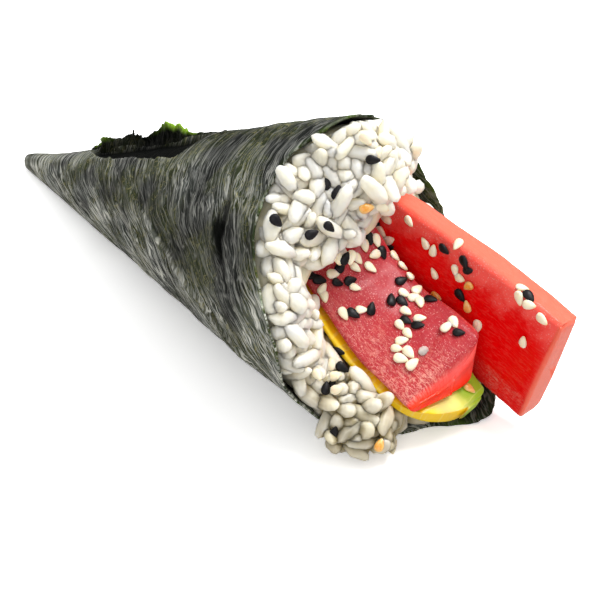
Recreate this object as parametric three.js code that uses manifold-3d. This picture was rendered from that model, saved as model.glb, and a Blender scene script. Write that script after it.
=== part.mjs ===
// A temaki hand roll lying on its side: a cone of toasted nori filled with sushi rice, two slabs of raw tuna
// and a slice of avocado that stick out of its mouth, and sesame seeds sprinkled over them.
// Millimetres, +Z up. While it is built, the cone's apex is the origin, the line on which the cone lies runs
// along +X to the mouth, and the table is at z = 0. The group at the end moves the whole to its own origin.

import * as THREE from "three";
import { mergeVertices } from "three/addons/utils/BufferGeometryUtils.js";
import Module from "manifold-3d";

const wasm = await Module();
wasm.setup();

// ---- driving dimensions ------------------------------------------------------------------------------------

const CONE_HALF_ANGLE = 13; // degrees between the cone's axis and its side
const CONE_FLATTEN = 0.92; // the roll is a little narrower than it is tall
const TIP_AT = 7.5; // where the blunt tip starts, along the axis from the ideal apex
const NORI_THICK = 1.2; // the sheet lies double round the roll
const NORI_LAYER = 0.6; // what one layer adds, at a lap or a tear
const CAVITY_FROM = 17; // the tip is wound solid up to here
const FLAT_SPOT = 0.6; // how far the cone's underside is pressed flat
const GAP = 0.3; // clearance between neighbouring pieces
const SIDES = 48; // facets round the cone

// How far the rim reaches along the axis, at angles round the cone: 0 is the top, 90 the far side, -90 the near
// side and 180 the line on which it lies. One corner of the sheet reaches furthest, at 158.
const RIM_REACH = [
  [-180, 148.5],
  [-150, 142.5],
  [-125, 139.8],
  [-90, 142],
  [-58, 134.6],
  [-25, 132.6],
  [2, 136.5],
  [35, 131],
  [78, 131],
  [105, 135.5],
  [135, 143],
  [158, 156],
];

// The outer layer's free edge crosses the near side, and its lap stands off the layer under it.
const LAP = { along: 88.5, angle: -66, lean: -0.78, middle: -92, half: 34 };
const TEAR = { from: 40, to: 93, nearSide: -23, farSide: 16, bays: [40, 95], bayReach: [9, 5], bayDepth: 20 };
const CREASE = { along: 121, angle: -58, lean: -0.7, deep: 1.3, long: 9, wide: 6 }; // one dent behind the rim
const TIP_CROWN = { along: 9, reach: 10, half: 60, high: 1.2 }; // the tip is fuller on top
// Shallow waves: [height, how many round the cone, turn per mm along it].
const WAVES = [
  [0.3, 7, 1],
  [0.2, 13, -2],
];
// The torn corner that stands up along the top: humps as [place along the axis, height, reach].
const FLAP = { from: 37, to: 92, angle: 15, lean: 2, sway: 3, ragged: [0.75, 0.5] };
const FLAP_HUMPS = [
  [45, 2, 4],
  [55, 2.2, 5],
  [71, 3.4, 5],
  [60, 0.4, 25],
];

const GRAIN = { long: 8.4, wide: 3.5, thick: 3.1 }; // a cooked grain of short-grain rice
const SEED = { long: 3.2, wide: 1.9, thick: 1.1 }; // a sesame seed
const GRAIN_TAPER = 0.1;
const SEED_TAPER = 0.35;
const GRAIN_SPACING = 3.9; // between neighbouring grains on the rice
const GRAIN_TRIES = 8; // how often a grain that would cross another piece is turned before it is left out
const GRAIN_TILT = 0.8; // how far its first try may lean off the surface
const GRAIN_RISE = 0.1; // how much further out each next try lies
const GRAIN_SINK = 0.35; // how deep a grain sits in the rice, as a share of its thickness
const SEED_SINK = 0.25;
const RICE_SEEDS = { count: 14, spacing: 9, lift: 0.6 }; // sesame on the rice, lifted by a share of a grain

// The rice starts `after` the wound tip. In the mouth its rim lies behind the sheet's, its face leans back and
// swells, rounded off over the outer `edge` of its width, with a mound on top and a hollow where the slabs come
// out. A spill lies on the table on the near side.
const MOUTH = { after: 3, behindRim: 3, lean: 30, swell: 2.5, edge: 0.24, showsFrom: 4 };
const MOUTH_RINGS = [0.04, 0.12, 0.24, 0.38, 0.52, 0.68, 0.85]; // from the rim to the middle of the face
const MOUND = { y: 2, z: 46, high: 6, reach: 10, stretch: 1.5 };
const HOLLOW = { y: 0, z: 28.5, deep: 15, from: 5, to: 13, stretch: 1.9, above: 0.75, below: 1.6 };
const SPILL = { at: [143, -11, 7.5], size: [8, 9, 6.5] };
const RICE_GAP = 0.15; // the rice keeps this much further from the sheet than other pieces do

// The slabs and the avocado are lofts. One corner of the section runs along `spine`; `corners` lie round it in
// the plane across the spine, [sideways, up], each with its radius. The last two corners bound the face that
// carries seeds. `span` is the stretch of the spine that the piece takes up, as shares of its length, `cut` is
// how far the free end is rounded off on the near and on the far side, and `brow` how far its upper edge is. The
// end is cut at a slant: `slant` is how much further it reaches for each millimetre below its top.
const FRONT_SPINE = {
  points: [
    [94, -8, 22.5],
    [106, -9, 28],
    [118, -10, 31.5],
    [126, -10.4, 29.6],
    [132.5, -10.2, 24.6],
    [140, -9.7, 18.2],
    [147.5, -9.5, 15.2],
    [155, -9.8, 13],
    [160.5, -9.6, 11],
  ],
  twist: -18, // degrees by which the slab lies flatter inside the roll than at its free end
};
const BACK_SPINE = {
  points: [
    [106, 13, 36],
    [118, 14.3, 38],
    [134.5, 14.6, 36.6],
    [154, 14, 34],
    [171.3, 13.2, 30.6],
  ],
  twist: 0,
};
const TUNA_FRONT = {
  spine: FRONT_SPINE,
  span: [0, 0.92],
  corners: [
    [1.4, -1],
    [20, -1.4],
    [21, 10],
    [0, 0],
  ],
  radii: [0.5, 2, 2.2, 0.5],
  cut: [0, 7],
  brow: 2.4,
  slant: 0.25,
};
const TUNA_BACK = {
  spine: BACK_SPINE,
  span: [0, 1],
  corners: [
    [3.6, -26],
    [6.4, -0.4],
    [0, 0],
    [-2.2, -26],
  ],
  radii: [2, 1.8, 1.2, 1.2],
  cut: [0, 0.8],
  brow: 0.8,
  slant: 0,
};
const AVOCADO = {
  spine: FRONT_SPINE,
  span: [0.1, 1],
  corners: [
    [1.5, -3.8],
    [8.5, -5.4],
    [14, -6.6],
    [20, -5.6],
    [20.6, -2.2],
    [-2.4, -1.6],
  ],
  radii: [0.8, 3, 3, 1.5, 1, 0.6],
  cut: [14, 1.5],
  brow: 1,
  slant: 0,
};
// Room over the slabs' seeded faces that the rice leaves free.
const FRONT_ROOM = {
  ...TUNA_FRONT,
  span: [0.37, 0.95],
  corners: [
    [1.4, -1],
    [20, -1.4],
    [22, 20],
    [-5, 9],
  ],
  radii: [0.5, 2, 4, 4],
};
const BACK_ROOM = {
  ...TUNA_BACK,
  span: [0.22, 1],
  corners: [
    [3.6, -26],
    [6.8, 5],
    [-8, 6],
    [-8, -26],
  ],
  radii: [2, 3, 4, 2],
};

// Seeds on the tuna, in drifts: [share of the path, share across the face, how many, radius of the drift].
const FRONT_DRIFTS = [
  [0.56, 0.6, 8, 6],
  [0.7, 0.62, 7, 5],
  [0.78, 0.42, 6, 3.6],
  [0.85, 0.8, 3, 2],
  [0.6, 0.18, 4, 3],
];
const BACK_DRIFTS = [
  [0.5, 0.8, 4, 4],
  [0.62, 0.84, 4, 4],
  [0.7, 0.64, 4, 4],
  [0.9, 0.8, 3, 3.4],
  [0.86, 0.6, 1, 1],
];

const NORI_GREEN = 0x2c352a;
const RICE_WHITE = 0xeeebdf;
const TUNA_RED = 0xb41f2c;
const AVOCADO_GREEN = 0xd6e36a;

// ---- small helpers -----------------------------------------------------------------------------------------

const radians = THREE.MathUtils.degToRad;
const vector = (p) => new THREE.Vector3(...p);
const bell = (x, width) => Math.exp(-((x / width) ** 2));
const step = THREE.MathUtils.smoothstep;

// The same row of numbers between 0 and 1 in every run.
function seededRandom(seed) {
  let state = seed;
  return () => {
    state = (Math.imul(state, 1664525) + 1013904223) >>> 0;
    return state / 4294967296;
  };
}

// A closed geometry over rings of points, shut with a fan at the middle of the first and of the last ring.
function skin(rings) {
  const sides = rings[0].length;
  const middle = (ring) =>
    ring.reduce((sum, p) => sum.add(p), new THREE.Vector3()).divideScalar(sides);
  const points = [...rings.flat(), middle(rings[0]), middle(rings.at(-1))];
  const first = points.length - 2;
  const index = [];
  for (let i = 0; i < sides; i++) {
    const j = (i + 1) % sides;
    index.push(first, j, i);
    for (let r = 0; r < rings.length - 1; r++) {
      const [a, b] = [r * sides, (r + 1) * sides];
      index.push(a + i, a + j, b + i, a + j, b + j, b + i);
    }
    const last = (rings.length - 1) * sides;
    index.push(last + i, last + j, first + 1);
  }
  if (volumeOf(points, index) < 0) index.reverse();
  const geometry = new THREE.BufferGeometry().setFromPoints(points);
  return geometry.setIndex(index);
}

function volumeOf(points, index) {
  let six = 0;
  for (let i = 0; i < index.length; i += 3) {
    const [a, b, c] = [points[index[i]], points[index[i + 1]], points[index[i + 2]]];
    six += a.dot(b.clone().cross(c));
  }
  return six / 6;
}

function solidOf(geometry) {
  const bare = new THREE.BufferGeometry();
  bare.setAttribute("position", geometry.getAttribute("position"));
  bare.setIndex(geometry.index);
  const merged = mergeVertices(bare, 1e-4);
  const mesh = new wasm.Mesh({
    numProp: 3,
    vertProperties: new Float32Array(merged.attributes.position.array),
    triVerts: new Uint32Array(merged.index.array),
  });
  return new wasm.Manifold(mesh);
}

function geometryOf(solid) {
  const { vertProperties, triVerts } = solid.getMesh();
  const geometry = new THREE.BufferGeometry();
  geometry.setAttribute("position", new THREE.BufferAttribute(vertProperties, 3));
  return geometry.setIndex(new THREE.BufferAttribute(triVerts, 1));
}

const join = (solids) => solids.reduce((sum, solid) => sum.add(solid));
const touches = (a, b) => a.intersect(b).volume() > 1e-6;
const largest = (solid) =>
  solid.decompose().reduce((best, body) => (body.volume() > best.volume() ? body : best));

// ---- the cone of nori --------------------------------------------------------------------------------------

const SLOPE = Math.tan(radians(CONE_HALF_ANGLE));
const AXIS = new THREE.Vector3(Math.cos(radians(CONE_HALF_ANGLE)), 0, Math.sin(radians(CONE_HALF_ANGLE)));
const RISE = new THREE.Vector3(-AXIS.z, 0, AXIS.x); // across the axis, to the top of the cone

// The point at a distance along the axis, an angle round it and a radius.
function conePoint(along, angle, radius) {
  return AXIS.clone()
    .multiplyScalar(along)
    .addScaledVector(RISE, radius * Math.cos(radians(angle)))
    .add(new THREE.Vector3(0, radius * CONE_FLATTEN * Math.sin(radians(angle)), 0));
}

// A smooth closed curve through the reaches in the table.
function rimAt(angle) {
  const n = RIM_REACH.length;
  const at = THREE.MathUtils.euclideanModulo(angle + 180, 360) - 180;
  let k = n - 1;
  while (RIM_REACH[k][0] > at) k--;
  const reach = (i) => RIM_REACH[(i + n) % n][1];
  const end = k === n - 1 ? 180 : RIM_REACH[k + 1][0];
  const t = (at - RIM_REACH[k][0]) / (end - RIM_REACH[k][0]);
  const [a, b, c, d] = [reach(k - 1), reach(k), reach(k + 1), reach(k + 2)];
  return b + 0.5 * t * (c - a + t * (2 * a - 5 * b + 4 * c - d + t * (3 * (b - c) + d - a)));
}

// How far the outside stands off the plain cone: the lap of the outer layer, the tear on top where only the
// inner layer is left, one deep crease behind the rim, a fuller tip, and shallow waves down the length.
function noriRelief(along, angle) {
  const toLap = LAP.along + LAP.lean * (angle - LAP.angle) - along;
  const lap = NORI_LAYER * step(toLap, -1, 1) * bell(angle - LAP.middle, LAP.half) * bell(toLap, 30);
  const bays = TEAR.bays.map((at, i) => TEAR.bayDepth * bell(along - at, TEAR.bayReach[i]));
  const tearEdge = TEAR.nearSide + bays[0] + bays[1];
  const tornAlong = step(along, TEAR.from, TEAR.from + 5) * step(TEAR.to - along, 0, 4);
  const tornAcross = step(angle, tearEdge - 3, tearEdge) * step(TEAR.farSide - angle, 0, 3);
  const tear = NORI_LAYER * tornAlong * tornAcross;
  const past = along - CREASE.along;
  const aside = angle - CREASE.angle - CREASE.lean * past;
  const crease = CREASE.deep * bell(past, CREASE.long) * bell(aside, CREASE.wide);
  const crown = TIP_CROWN.high * bell(along - TIP_CROWN.along, TIP_CROWN.reach) * bell(angle, TIP_CROWN.half);
  const wave = ([high, round, turn]) => high * Math.sin(radians(round * angle + turn * along));
  const waves = WAVES.reduce((sum, each) => sum + wave(each), 0);
  const offTable = step(180 - Math.abs(angle), 12, 40);
  return lap - tear - crease + crown + waves * step(along, 20, 120) * offTable;
}

function noriOutside(along, angle) {
  const p = conePoint(along, angle, along * SLOPE + noriRelief(along, angle));
  p.z = Math.max(p.z, FLAT_SPOT);
  return p;
}

const noriInside = (along, angle, deeper) =>
  conePoint(along, angle, along * SLOPE - (NORI_THICK + deeper) / Math.cos(radians(CONE_HALF_ANGLE)));

const angles = Array.from({ length: SIDES }, (_, i) => (i * 360) / SIDES - 180);
const shares = (n, from = 0) => Array.from({ length: n + 1 }, (_, i) => from + ((1 - from) * i) / n);

// The sheet, `grow` thicker on every side where it stands for the room that the rice must keep clear.
function noriCone(grow = 0) {
  const outer = shares(15).map((v) =>
    angles.map((angle) => {
      const along = THREE.MathUtils.lerp(TIP_AT, rimAt(angle) + grow, v);
      const p = noriOutside(along, angle);
      if (grow) p.addScaledVector(conePoint(0, angle, 1), grow);
      return p;
    }),
  );
  const inner = shares(4).map((v) =>
    angles.map((angle) => {
      const along = THREE.MathUtils.lerp(rimAt(angle) + grow, CAVITY_FROM, v);
      return noriInside(along, angle, grow);
    }),
  );
  return solidOf(skin([...outer, ...inner]));
}

// The torn corner of the sheet that stands up along the top, in ragged humps.
function noriFlap() {
  const random = seededRandom(11);
  const hump = (along, [at, high, reach]) => high * bell(along - at, reach);
  const height = (along) => FLAP_HUMPS.reduce((sum, each) => sum + hump(along, each), 0);
  const rings = shares(20).map((v) => {
    const along = THREE.MathUtils.lerp(FLAP.from, FLAP.to, v);
    const lean = FLAP.angle + FLAP.lean + FLAP.sway * Math.sin(along / 4);
    const foot = along * SLOPE - NORI_LAYER - GAP;
    const top = foot + NORI_LAYER + 0.4 + height(along) * (FLAP.ragged[0] + FLAP.ragged[1] * random());
    const half = (NORI_LAYER / 2 / foot) * THREE.MathUtils.RAD2DEG;
    return [
      conePoint(along, FLAP.angle - half, foot),
      conePoint(along, FLAP.angle + half, foot),
      conePoint(along, lean + half, top),
      conePoint(along, lean - half, top),
    ];
  });
  return solidOf(skin(rings));
}

// ---- slabs of tuna and the slice of avocado ----------------------------------------------------------------

// A convex outline with its corners rounded, `grow` larger on every side.
function roundedOutline(corners, radii, grow) {
  const n = corners.length;
  const at = (i) => new THREE.Vector2(...corners[(i + n) % n]);
  return corners.flatMap((_, i) => {
    const into = at(i).sub(at(i - 1)).normalize();
    const out = at(i + 1).sub(at(i)).normalize();
    const turn = Math.atan2(into.cross(out), into.dot(out));
    const radius = radii[i];
    const back = radius * Math.tan(turn / 2);
    const normal = new THREE.Vector2(into.y, -into.x);
    const centre = at(i).addScaledVector(into, -back).addScaledVector(normal, -radius);
    return [0, 0.5, 1].map((share) => {
      const spoke = normal.clone().rotateAround(new THREE.Vector2(), turn * share);
      return centre.clone().addScaledVector(spoke, radius + grow);
    });
  });
}

// The place and the directions of a section at a share of the spine.
function frameAt(spine, share) {
  const curve = new THREE.CatmullRomCurve3(spine.points.map(vector), false, "centripetal");
  const forward = curve.getTangentAt(share);
  const turn = radians(spine.twist * (1 - step(share, 0.5, 0.85)));
  const side = new THREE.Vector3(0, 0, 1).cross(forward).normalize().applyAxisAngle(forward, turn);
  const up = forward.clone().cross(side);
  return { origin: curve.getPointAt(share), forward, side, up, length: curve.getLength() };
}

function inSection({ origin, side, up }, [x, y]) {
  return origin.clone().addScaledVector(side, x).addScaledVector(up, y);
}

// The lowest and the highest place of a closed outline at x.
function heightsAt(outline, x) {
  const found = outline.flatMap((p, i) => {
    const q = outline[(i + 1) % outline.length];
    const t = (x - p.x) / (q.x - p.x);
    return t >= 0 && t <= 1 ? [THREE.MathUtils.lerp(p.y, q.y, t)] : [];
  });
  return [Math.min(...found), Math.max(...found)];
}

const SLAB_RINGS = 13; // close enough for neighbouring slabs to bend alike
const END_RINGS = [0.55, 0.8, 0.93, 1]; // shares of the rounded stretch at the free end
const SLANT_OVER = 9; // the stretch before the free end over which the slant sets in

function loft({ spine, span, corners, radii, cut, brow, slant }, grow = 0) {
  const outline = roundedOutline(corners, radii, grow);
  const sides = outline.map((p) => p.x);
  const [near, far] = [Math.min(...sides) + 0.01, Math.max(...sides) - 0.01];
  const middle = outline.reduce((sum, p) => sum.add(p), new THREE.Vector2()).divideScalar(outline.length);
  const { length } = frameAt(spine, 0);
  const last = Math.max(...cut, brow);
  // How far a rounding of this radius has sunk at a distance before the free end.
  const sunk = (before, radius) => radius * (1 - Math.sqrt(1 - Math.max(0, 1 - before / radius) ** 2));
  const ring = (share, ahead, shrink) => {
    const frame = frameAt(spine, share);
    const before = (span[1] - share) * length;
    const over = sunk(before, brow);
    const [fromNear, fromFar] = cut.map((radius) => (radius / last) * sunk(before, last));
    return outline.map((p) => {
      const [low, high] = heightsAt(outline, THREE.MathUtils.clamp(p.x, near, far));
      const x = THREE.MathUtils.clamp(p.x, near + fromNear, far - fromFar - over);
      const [lowest, highest] = heightsAt(outline, x);
      const up = lowest + ((highest - lowest) * (p.y - low)) / Math.max(high - low, 1e-6);
      const limit = Math.max(highest - over * step(x, 1, 8), lowest + 0.3);
      const q = new THREE.Vector2(x, Math.min(up, limit)).lerp(middle, shrink);
      const further = slant * Math.max(0, highest - q.y) * (1 - step(before, 0, SLANT_OVER));
      return inSection(frame, q.toArray()).addScaledVector(frame.forward, ahead + further);
    });
  };
  // Close to the free end the sides and the upper edge are cut back along quarter circles.
  const bend = span[1] - last / length;
  const straight = shares(SLAB_RINGS).map((v) => ring(THREE.MathUtils.lerp(span[0], bend, v), 0, 0));
  const rounded = END_RINGS.map((v) => ring(THREE.MathUtils.lerp(bend, span[1], v), 0, 0));
  const [foot, head] = [ring(span[0], -grow, 0.12), ring(span[1], 0.5 + grow, 0.1)];
  return solidOf(skin([foot, ...straight, ...rounded, head]));
}

// A place on the face between the last two corners, with its outward direction.
function onFace({ spine, corners }, share, across) {
  const frame = frameAt(spine, share);
  const [to, from] = corners.slice(-2).map((c) => new THREE.Vector2(...c));
  const run = to.clone().sub(from).normalize();
  const outward = frame.side.clone().multiplyScalar(-run.y).addScaledVector(frame.up, run.x);
  return { point: inSection(frame, from.lerp(to, across).toArray()), outward, forward: frame.forward };
}

// ---- grains and seeds --------------------------------------------------------------------------------------

// A pebble of few faces along +X, lying on XY: blunt at one end, and narrower at the other by `taper`.
const PEBBLE_SIDES = 5;
const BLUNT_RING = -0.26; // shares of the length
const NARROW_RING = 0.22;

function pebble({ long, wide, thick }, taper) {
  const ring = (x, r) =>
    Array.from({ length: PEBBLE_SIDES }, (_, i) => {
      const turn = (i * 2 * Math.PI) / PEBBLE_SIDES;
      return new THREE.Vector3(x * long, (Math.cos(turn) * r * wide) / 2, (Math.sin(turn) * r * thick) / 2);
    });
  const rings = [ring(BLUNT_RING, 1), ring(NARROW_RING, 1 - taper)];
  return { rings, tips: [new THREE.Vector3(-long / 2, 0, 0), new THREE.Vector3(long / 2, 0, 0)] };
}

// The pebble as a solid at a place, its flat side on the surface that faces `outward`.
function placed(shape, point, outward, heading, lift) {
  const side = outward.clone().cross(heading).normalize();
  const forward = side.clone().cross(outward).normalize();
  const turn = new THREE.Matrix4().makeBasis(forward, side, outward);
  turn.setPosition(point.clone().addScaledVector(outward, lift));
  const rings = [
    shape.rings[0].map(() => shape.tips[0].clone()),
    ...shape.rings.map((ring) => ring.map((p) => p.clone())),
    shape.rings[0].map(() => shape.tips[1].clone()),
  ].map((ring) => ring.map((p) => p.applyMatrix4(turn)));
  return solidOf(dropFlatTriangles(skin(rings)));
}

// A ring drawn together to one point leaves triangles of no area.
function dropFlatTriangles(geometry) {
  const merged = mergeVertices(geometry, 1e-4);
  const kept = [];
  for (let i = 0; i < merged.index.count; i += 3) {
    const [a, b, c] = [0, 1, 2].map((k) => merged.index.getX(i + k));
    if (a !== b && b !== c && a !== c) kept.push(a, b, c);
  }
  return merged.setIndex(kept);
}

// Seeds in drifts on a face, each drift a sunflower spiral of seeds that lie every way.
function seedsOn(piece, drifts, seed) {
  const random = seededRandom(seed);
  const shape = pebble(SEED, SEED_TAPER);
  const { length } = frameAt(piece.spine, 0);
  const [to, from] = piece.corners.slice(-2).map((c) => new THREE.Vector2(...c));
  const width = from.distanceTo(to);
  return drifts.flatMap(([share, across, count, radius]) =>
    Array.from({ length: count }, (_, i) => {
      const turn = i * radians(137.5) + random();
      const out = radius * Math.sqrt((i + 0.35) / count);
      const ahead = (out * Math.cos(turn)) / length;
      const aside = (out * Math.sin(turn)) / width;
      const place = onFace(piece, share + ahead, across + aside);
      const heading = place.forward.clone().applyAxisAngle(place.outward, random() * 2 * Math.PI);
      return placed(shape, place.point, place.outward, heading, SEED.thick * (0.5 - SEED_SINK));
    }),
  );
}

// ---- rice --------------------------------------------------------------------------------------------------

// How far the rice stands out of the mouth: a low dome, a mound above the tuna, and a hollow where the slabs
// come out.
function riceBulge({ y, z }) {
  const mound = MOUND.high * bell(Math.hypot((y - MOUND.y) / MOUND.stretch, z - MOUND.z), MOUND.reach);
  const stretch = z < HOLLOW.z ? HOLLOW.below : HOLLOW.above;
  const away = Math.hypot((y - HOLLOW.y) / HOLLOW.stretch, (z - HOLLOW.z) / stretch);
  return MOUTH.swell + mound - HOLLOW.deep * (1 - step(away, HOLLOW.from, HOLLOW.to));
}

function riceCore() {
  const body = shares(3).map((v) =>
    angles.map((angle) => {
      const along = THREE.MathUtils.lerp(CAVITY_FROM + MOUTH.after, rimAt(angle) - MOUTH.behindRim, v);
      return noriInside(along, angle, GAP + RICE_GAP);
    }),
  );
  const rim = body.at(-1);
  const heart = rim.reduce((sum, p) => sum.add(p), new THREE.Vector3()).divideScalar(rim.length);
  const lean = radians(MOUTH.lean);
  const outward = new THREE.Vector3(Math.cos(lean), 0, Math.sin(lean));
  const front = MOUTH_RINGS.map((v) =>
    rim.map((p) => {
      const q = p.clone().lerp(heart, v);
      const rounding = Math.sqrt(1 - (1 - Math.min(1, v / MOUTH.edge)) ** 2);
      return q.addScaledVector(outward, riceBulge(q) * rounding);
    }),
  );
  return solidOf(skin([...body, ...front]));
}

// Rice that has slid out over the rim on the near side and lies on the table.
function riceSpill() {
  const ball = new THREE.SphereGeometry(1, 16, 10);
  ball.scale(...SPILL.size).translate(...SPILL.at);
  return bareSolid(ball);
}

// The solid of a three.js geometry whose seams and poles are closed.
function bareSolid(geometry) {
  geometry.deleteAttribute("normal");
  geometry.deleteAttribute("uv");
  return solidOf(dropFlatTriangles(geometry));
}

const SCATTER_TRIES = 6000;

// Places spread over a geometry's faces, none closer than `spacing` to another.
function scatter(geometry, spacing, random, wanted) {
  const position = geometry.getAttribute("position");
  const corner = (i) => new THREE.Vector3().fromBufferAttribute(position, geometry.index.getX(i));
  const faces = [];
  let area = 0;
  for (let i = 0; i < geometry.index.count; i += 3) {
    const face = new THREE.Triangle(corner(i), corner(i + 1), corner(i + 2));
    const middle = face.getMidpoint(new THREE.Vector3());
    if (!wanted(middle)) continue;
    area += face.getArea();
    faces.push({ face, upTo: area });
  }
  const places = [];
  for (let tries = 0; tries < SCATTER_TRIES; tries++) {
    const pick = random() * area;
    const { face } = faces.find(({ upTo }) => upTo >= pick);
    let [u, v] = [random(), random()];
    if (u + v > 1) [u, v] = [1 - u, 1 - v];
    const point = face.a
      .clone()
      .addScaledVector(face.b.clone().sub(face.a), u)
      .addScaledVector(face.c.clone().sub(face.a), v);
    if (places.some((other) => other.point.distanceTo(point) < spacing)) continue;
    places.push({ point, outward: face.getNormal(new THREE.Vector3()) });
  }
  return places;
}

// Beyond the rim, where the rice shows.
function inMouth(p) {
  const along = p.dot(AXIS);
  const angle = THREE.MathUtils.radToDeg(Math.atan2(p.y / CONE_FLATTEN, p.dot(RISE)));
  return along > rimAt(angle) - MOUTH.showsFrom && p.z > FLAT_SPOT + 1;
}

const TABLE = { wide: 400, thick: 20 };

// What the rice stays clear of: the sheet, the fillings with the room over them, and the table.
function roomRound(fillings) {
  const table = new THREE.BoxGeometry(TABLE.wide, TABLE.wide, TABLE.thick);
  table.translate(0, 0, FLAT_SPOT + 0.05 - TABLE.thick / 2);
  return [noriCone(GAP), ...fillings.map((piece) => loft(piece, GAP)), bareSolid(table)];
}

function rice(fillings, toppings) {
  const random = seededRandom(29);
  const room = roomRound(fillings);
  const core = largest(room.reduce((left, solid) => left.subtract(solid), riceCore().add(riceSpill())));
  const grain = pebble(GRAIN, GRAIN_TAPER);
  const seed = pebble(SEED, SEED_TAPER);
  const blocked = [...room, ...toppings];
  const pieces = [];
  const anyWay = () => new THREE.Vector3(random() - 0.5, random() - 0.5, random() - 0.5);
  const fits = (made) => !blocked.some((solid) => touches(made, solid));
  for (const { point, outward } of scatter(geometryOf(core), GRAIN_SPACING, random, inMouth)) {
    for (let tries = 0; tries < GRAIN_TRIES; tries++) {
      const lean = GRAIN_TILT * (1 - tries / GRAIN_TRIES);
      const tilted = outward.clone().addScaledVector(anyWay(), lean).normalize();
      const lift = GRAIN.thick * (0.5 - GRAIN_SINK) + GRAIN_RISE * tries;
      const made = placed(grain, point, tilted, anyWay(), lift);
      if (!fits(made)) continue;
      pieces.push(made);
      break;
    }
  }
  const places = scatter(geometryOf(core), RICE_SEEDS.spacing, random, inMouth).slice(0, RICE_SEEDS.count);
  for (const { point, outward } of places) {
    const made = placed(seed, point, outward, anyWay(), GRAIN.thick * RICE_SEEDS.lift);
    if (fits(made) && pieces.some((other) => touches(made, other))) pieces.push(made);
  }
  return largest(join([core, ...pieces]));
}

// ---- the roll ----------------------------------------------------------------------------------------------

function mesh(name, solid, color, roughness) {
  const material = new THREE.MeshStandardMaterial({ color, roughness, metalness: 0, flatShading: true });
  const made = new THREE.Mesh(geometryOf(solid), material);
  made.name = name;
  return made;
}

const frontSeeds = seedsOn(TUNA_FRONT, FRONT_DRIFTS, 3);
const backSeeds = seedsOn(TUNA_BACK, BACK_DRIFTS, 5);
const frontBody = loft(TUNA_FRONT);
const backBody = loft(TUNA_BACK);
// The seeds that lie on a body and clear of the other pieces.
const lyingOn = (body, seeds, others) =>
  seeds.filter((seed) => touches(seed, body) && !others.some((solid) => touches(seed, solid)));
const frontKept = lyingOn(frontBody, frontSeeds, [loft(TUNA_BACK, GAP)]);
const backKept = lyingOn(backBody, backSeeds, [loft(TUNA_FRONT, GAP), ...frontKept]);

const fillings = [TUNA_FRONT, TUNA_BACK, AVOCADO, FRONT_ROOM, BACK_ROOM];

const roll = new THREE.Group();
roll.add(
  mesh("nori_wrap", noriCone().add(noriFlap()), NORI_GREEN, 0.6),
  mesh("rice", rice(fillings, [...frontKept, ...backKept]), RICE_WHITE, 0.5),
  mesh("tuna_front", join([frontBody, ...frontKept]), TUNA_RED, 0.35),
  mesh("tuna_back", join([backBody, ...backKept]), TUNA_RED, 0.35),
  mesh("avocado_slice", loft(AVOCADO), AVOCADO_GREEN, 0.45),
);

// The origin goes to the middle of the roll's box, on the table.
const box = new THREE.Box3().setFromObject(roll);
const centre = box.getCenter(new THREE.Vector3());
roll.position.set(-centre.x, -centre.y, -box.min.z);

export default roll;
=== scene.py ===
# %% [markdown]
# # A temaki hand roll
# A cone of toasted nori filled with sushi rice, two slabs of raw tuna, a slice of avocado and a sprinkle of
# sesame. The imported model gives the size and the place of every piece. This script gives each its finish:
# a wrinkled sheet, hundreds of real grains, moist fish, soft avocado and single seeds.
#
# Lengths are millimetres while a piece is being shaped, with the cone's ideal apex as the origin, the line on
# which the cone lies along +X and the table just above z = 0. `in_frame` turns them into metres in the frame.

# %% Load the frame
import math

import bpy
import numpy as np
from mathutils import Matrix, Vector, noise
from mathutils.bvhtree import BVHTree
from mathutils.kdtree import KDTree


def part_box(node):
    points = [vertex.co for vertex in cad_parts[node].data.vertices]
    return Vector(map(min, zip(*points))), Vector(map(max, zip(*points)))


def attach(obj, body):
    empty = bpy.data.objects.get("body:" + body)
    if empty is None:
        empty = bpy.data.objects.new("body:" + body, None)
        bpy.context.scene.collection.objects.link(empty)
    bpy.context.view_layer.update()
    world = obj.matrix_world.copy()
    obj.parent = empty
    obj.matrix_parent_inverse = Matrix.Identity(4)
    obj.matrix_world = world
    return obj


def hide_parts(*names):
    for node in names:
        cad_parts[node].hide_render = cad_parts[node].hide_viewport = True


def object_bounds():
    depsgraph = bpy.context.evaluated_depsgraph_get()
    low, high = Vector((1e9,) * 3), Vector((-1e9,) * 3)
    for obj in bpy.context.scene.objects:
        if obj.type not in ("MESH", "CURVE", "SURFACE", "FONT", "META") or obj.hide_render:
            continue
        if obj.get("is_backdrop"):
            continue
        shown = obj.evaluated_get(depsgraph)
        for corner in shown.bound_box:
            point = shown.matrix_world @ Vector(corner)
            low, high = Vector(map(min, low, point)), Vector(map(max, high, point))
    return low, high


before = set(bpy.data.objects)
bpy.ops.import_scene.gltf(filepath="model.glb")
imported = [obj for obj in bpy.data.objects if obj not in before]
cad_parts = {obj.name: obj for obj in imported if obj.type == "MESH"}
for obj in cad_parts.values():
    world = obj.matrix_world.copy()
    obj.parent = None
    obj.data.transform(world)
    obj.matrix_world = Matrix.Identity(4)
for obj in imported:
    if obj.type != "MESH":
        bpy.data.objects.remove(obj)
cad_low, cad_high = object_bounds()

print("nodes:", ", ".join(sorted(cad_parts)))

# %% [markdown]
# ## Small tools
# A finish reads best as a short recipe: mix this colour in where that value is high. `Recipe` holds one node
# tree and adds nodes to it. Each step takes numbers, colours or the outputs of earlier steps, and gives back
# the output of a new node.

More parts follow.
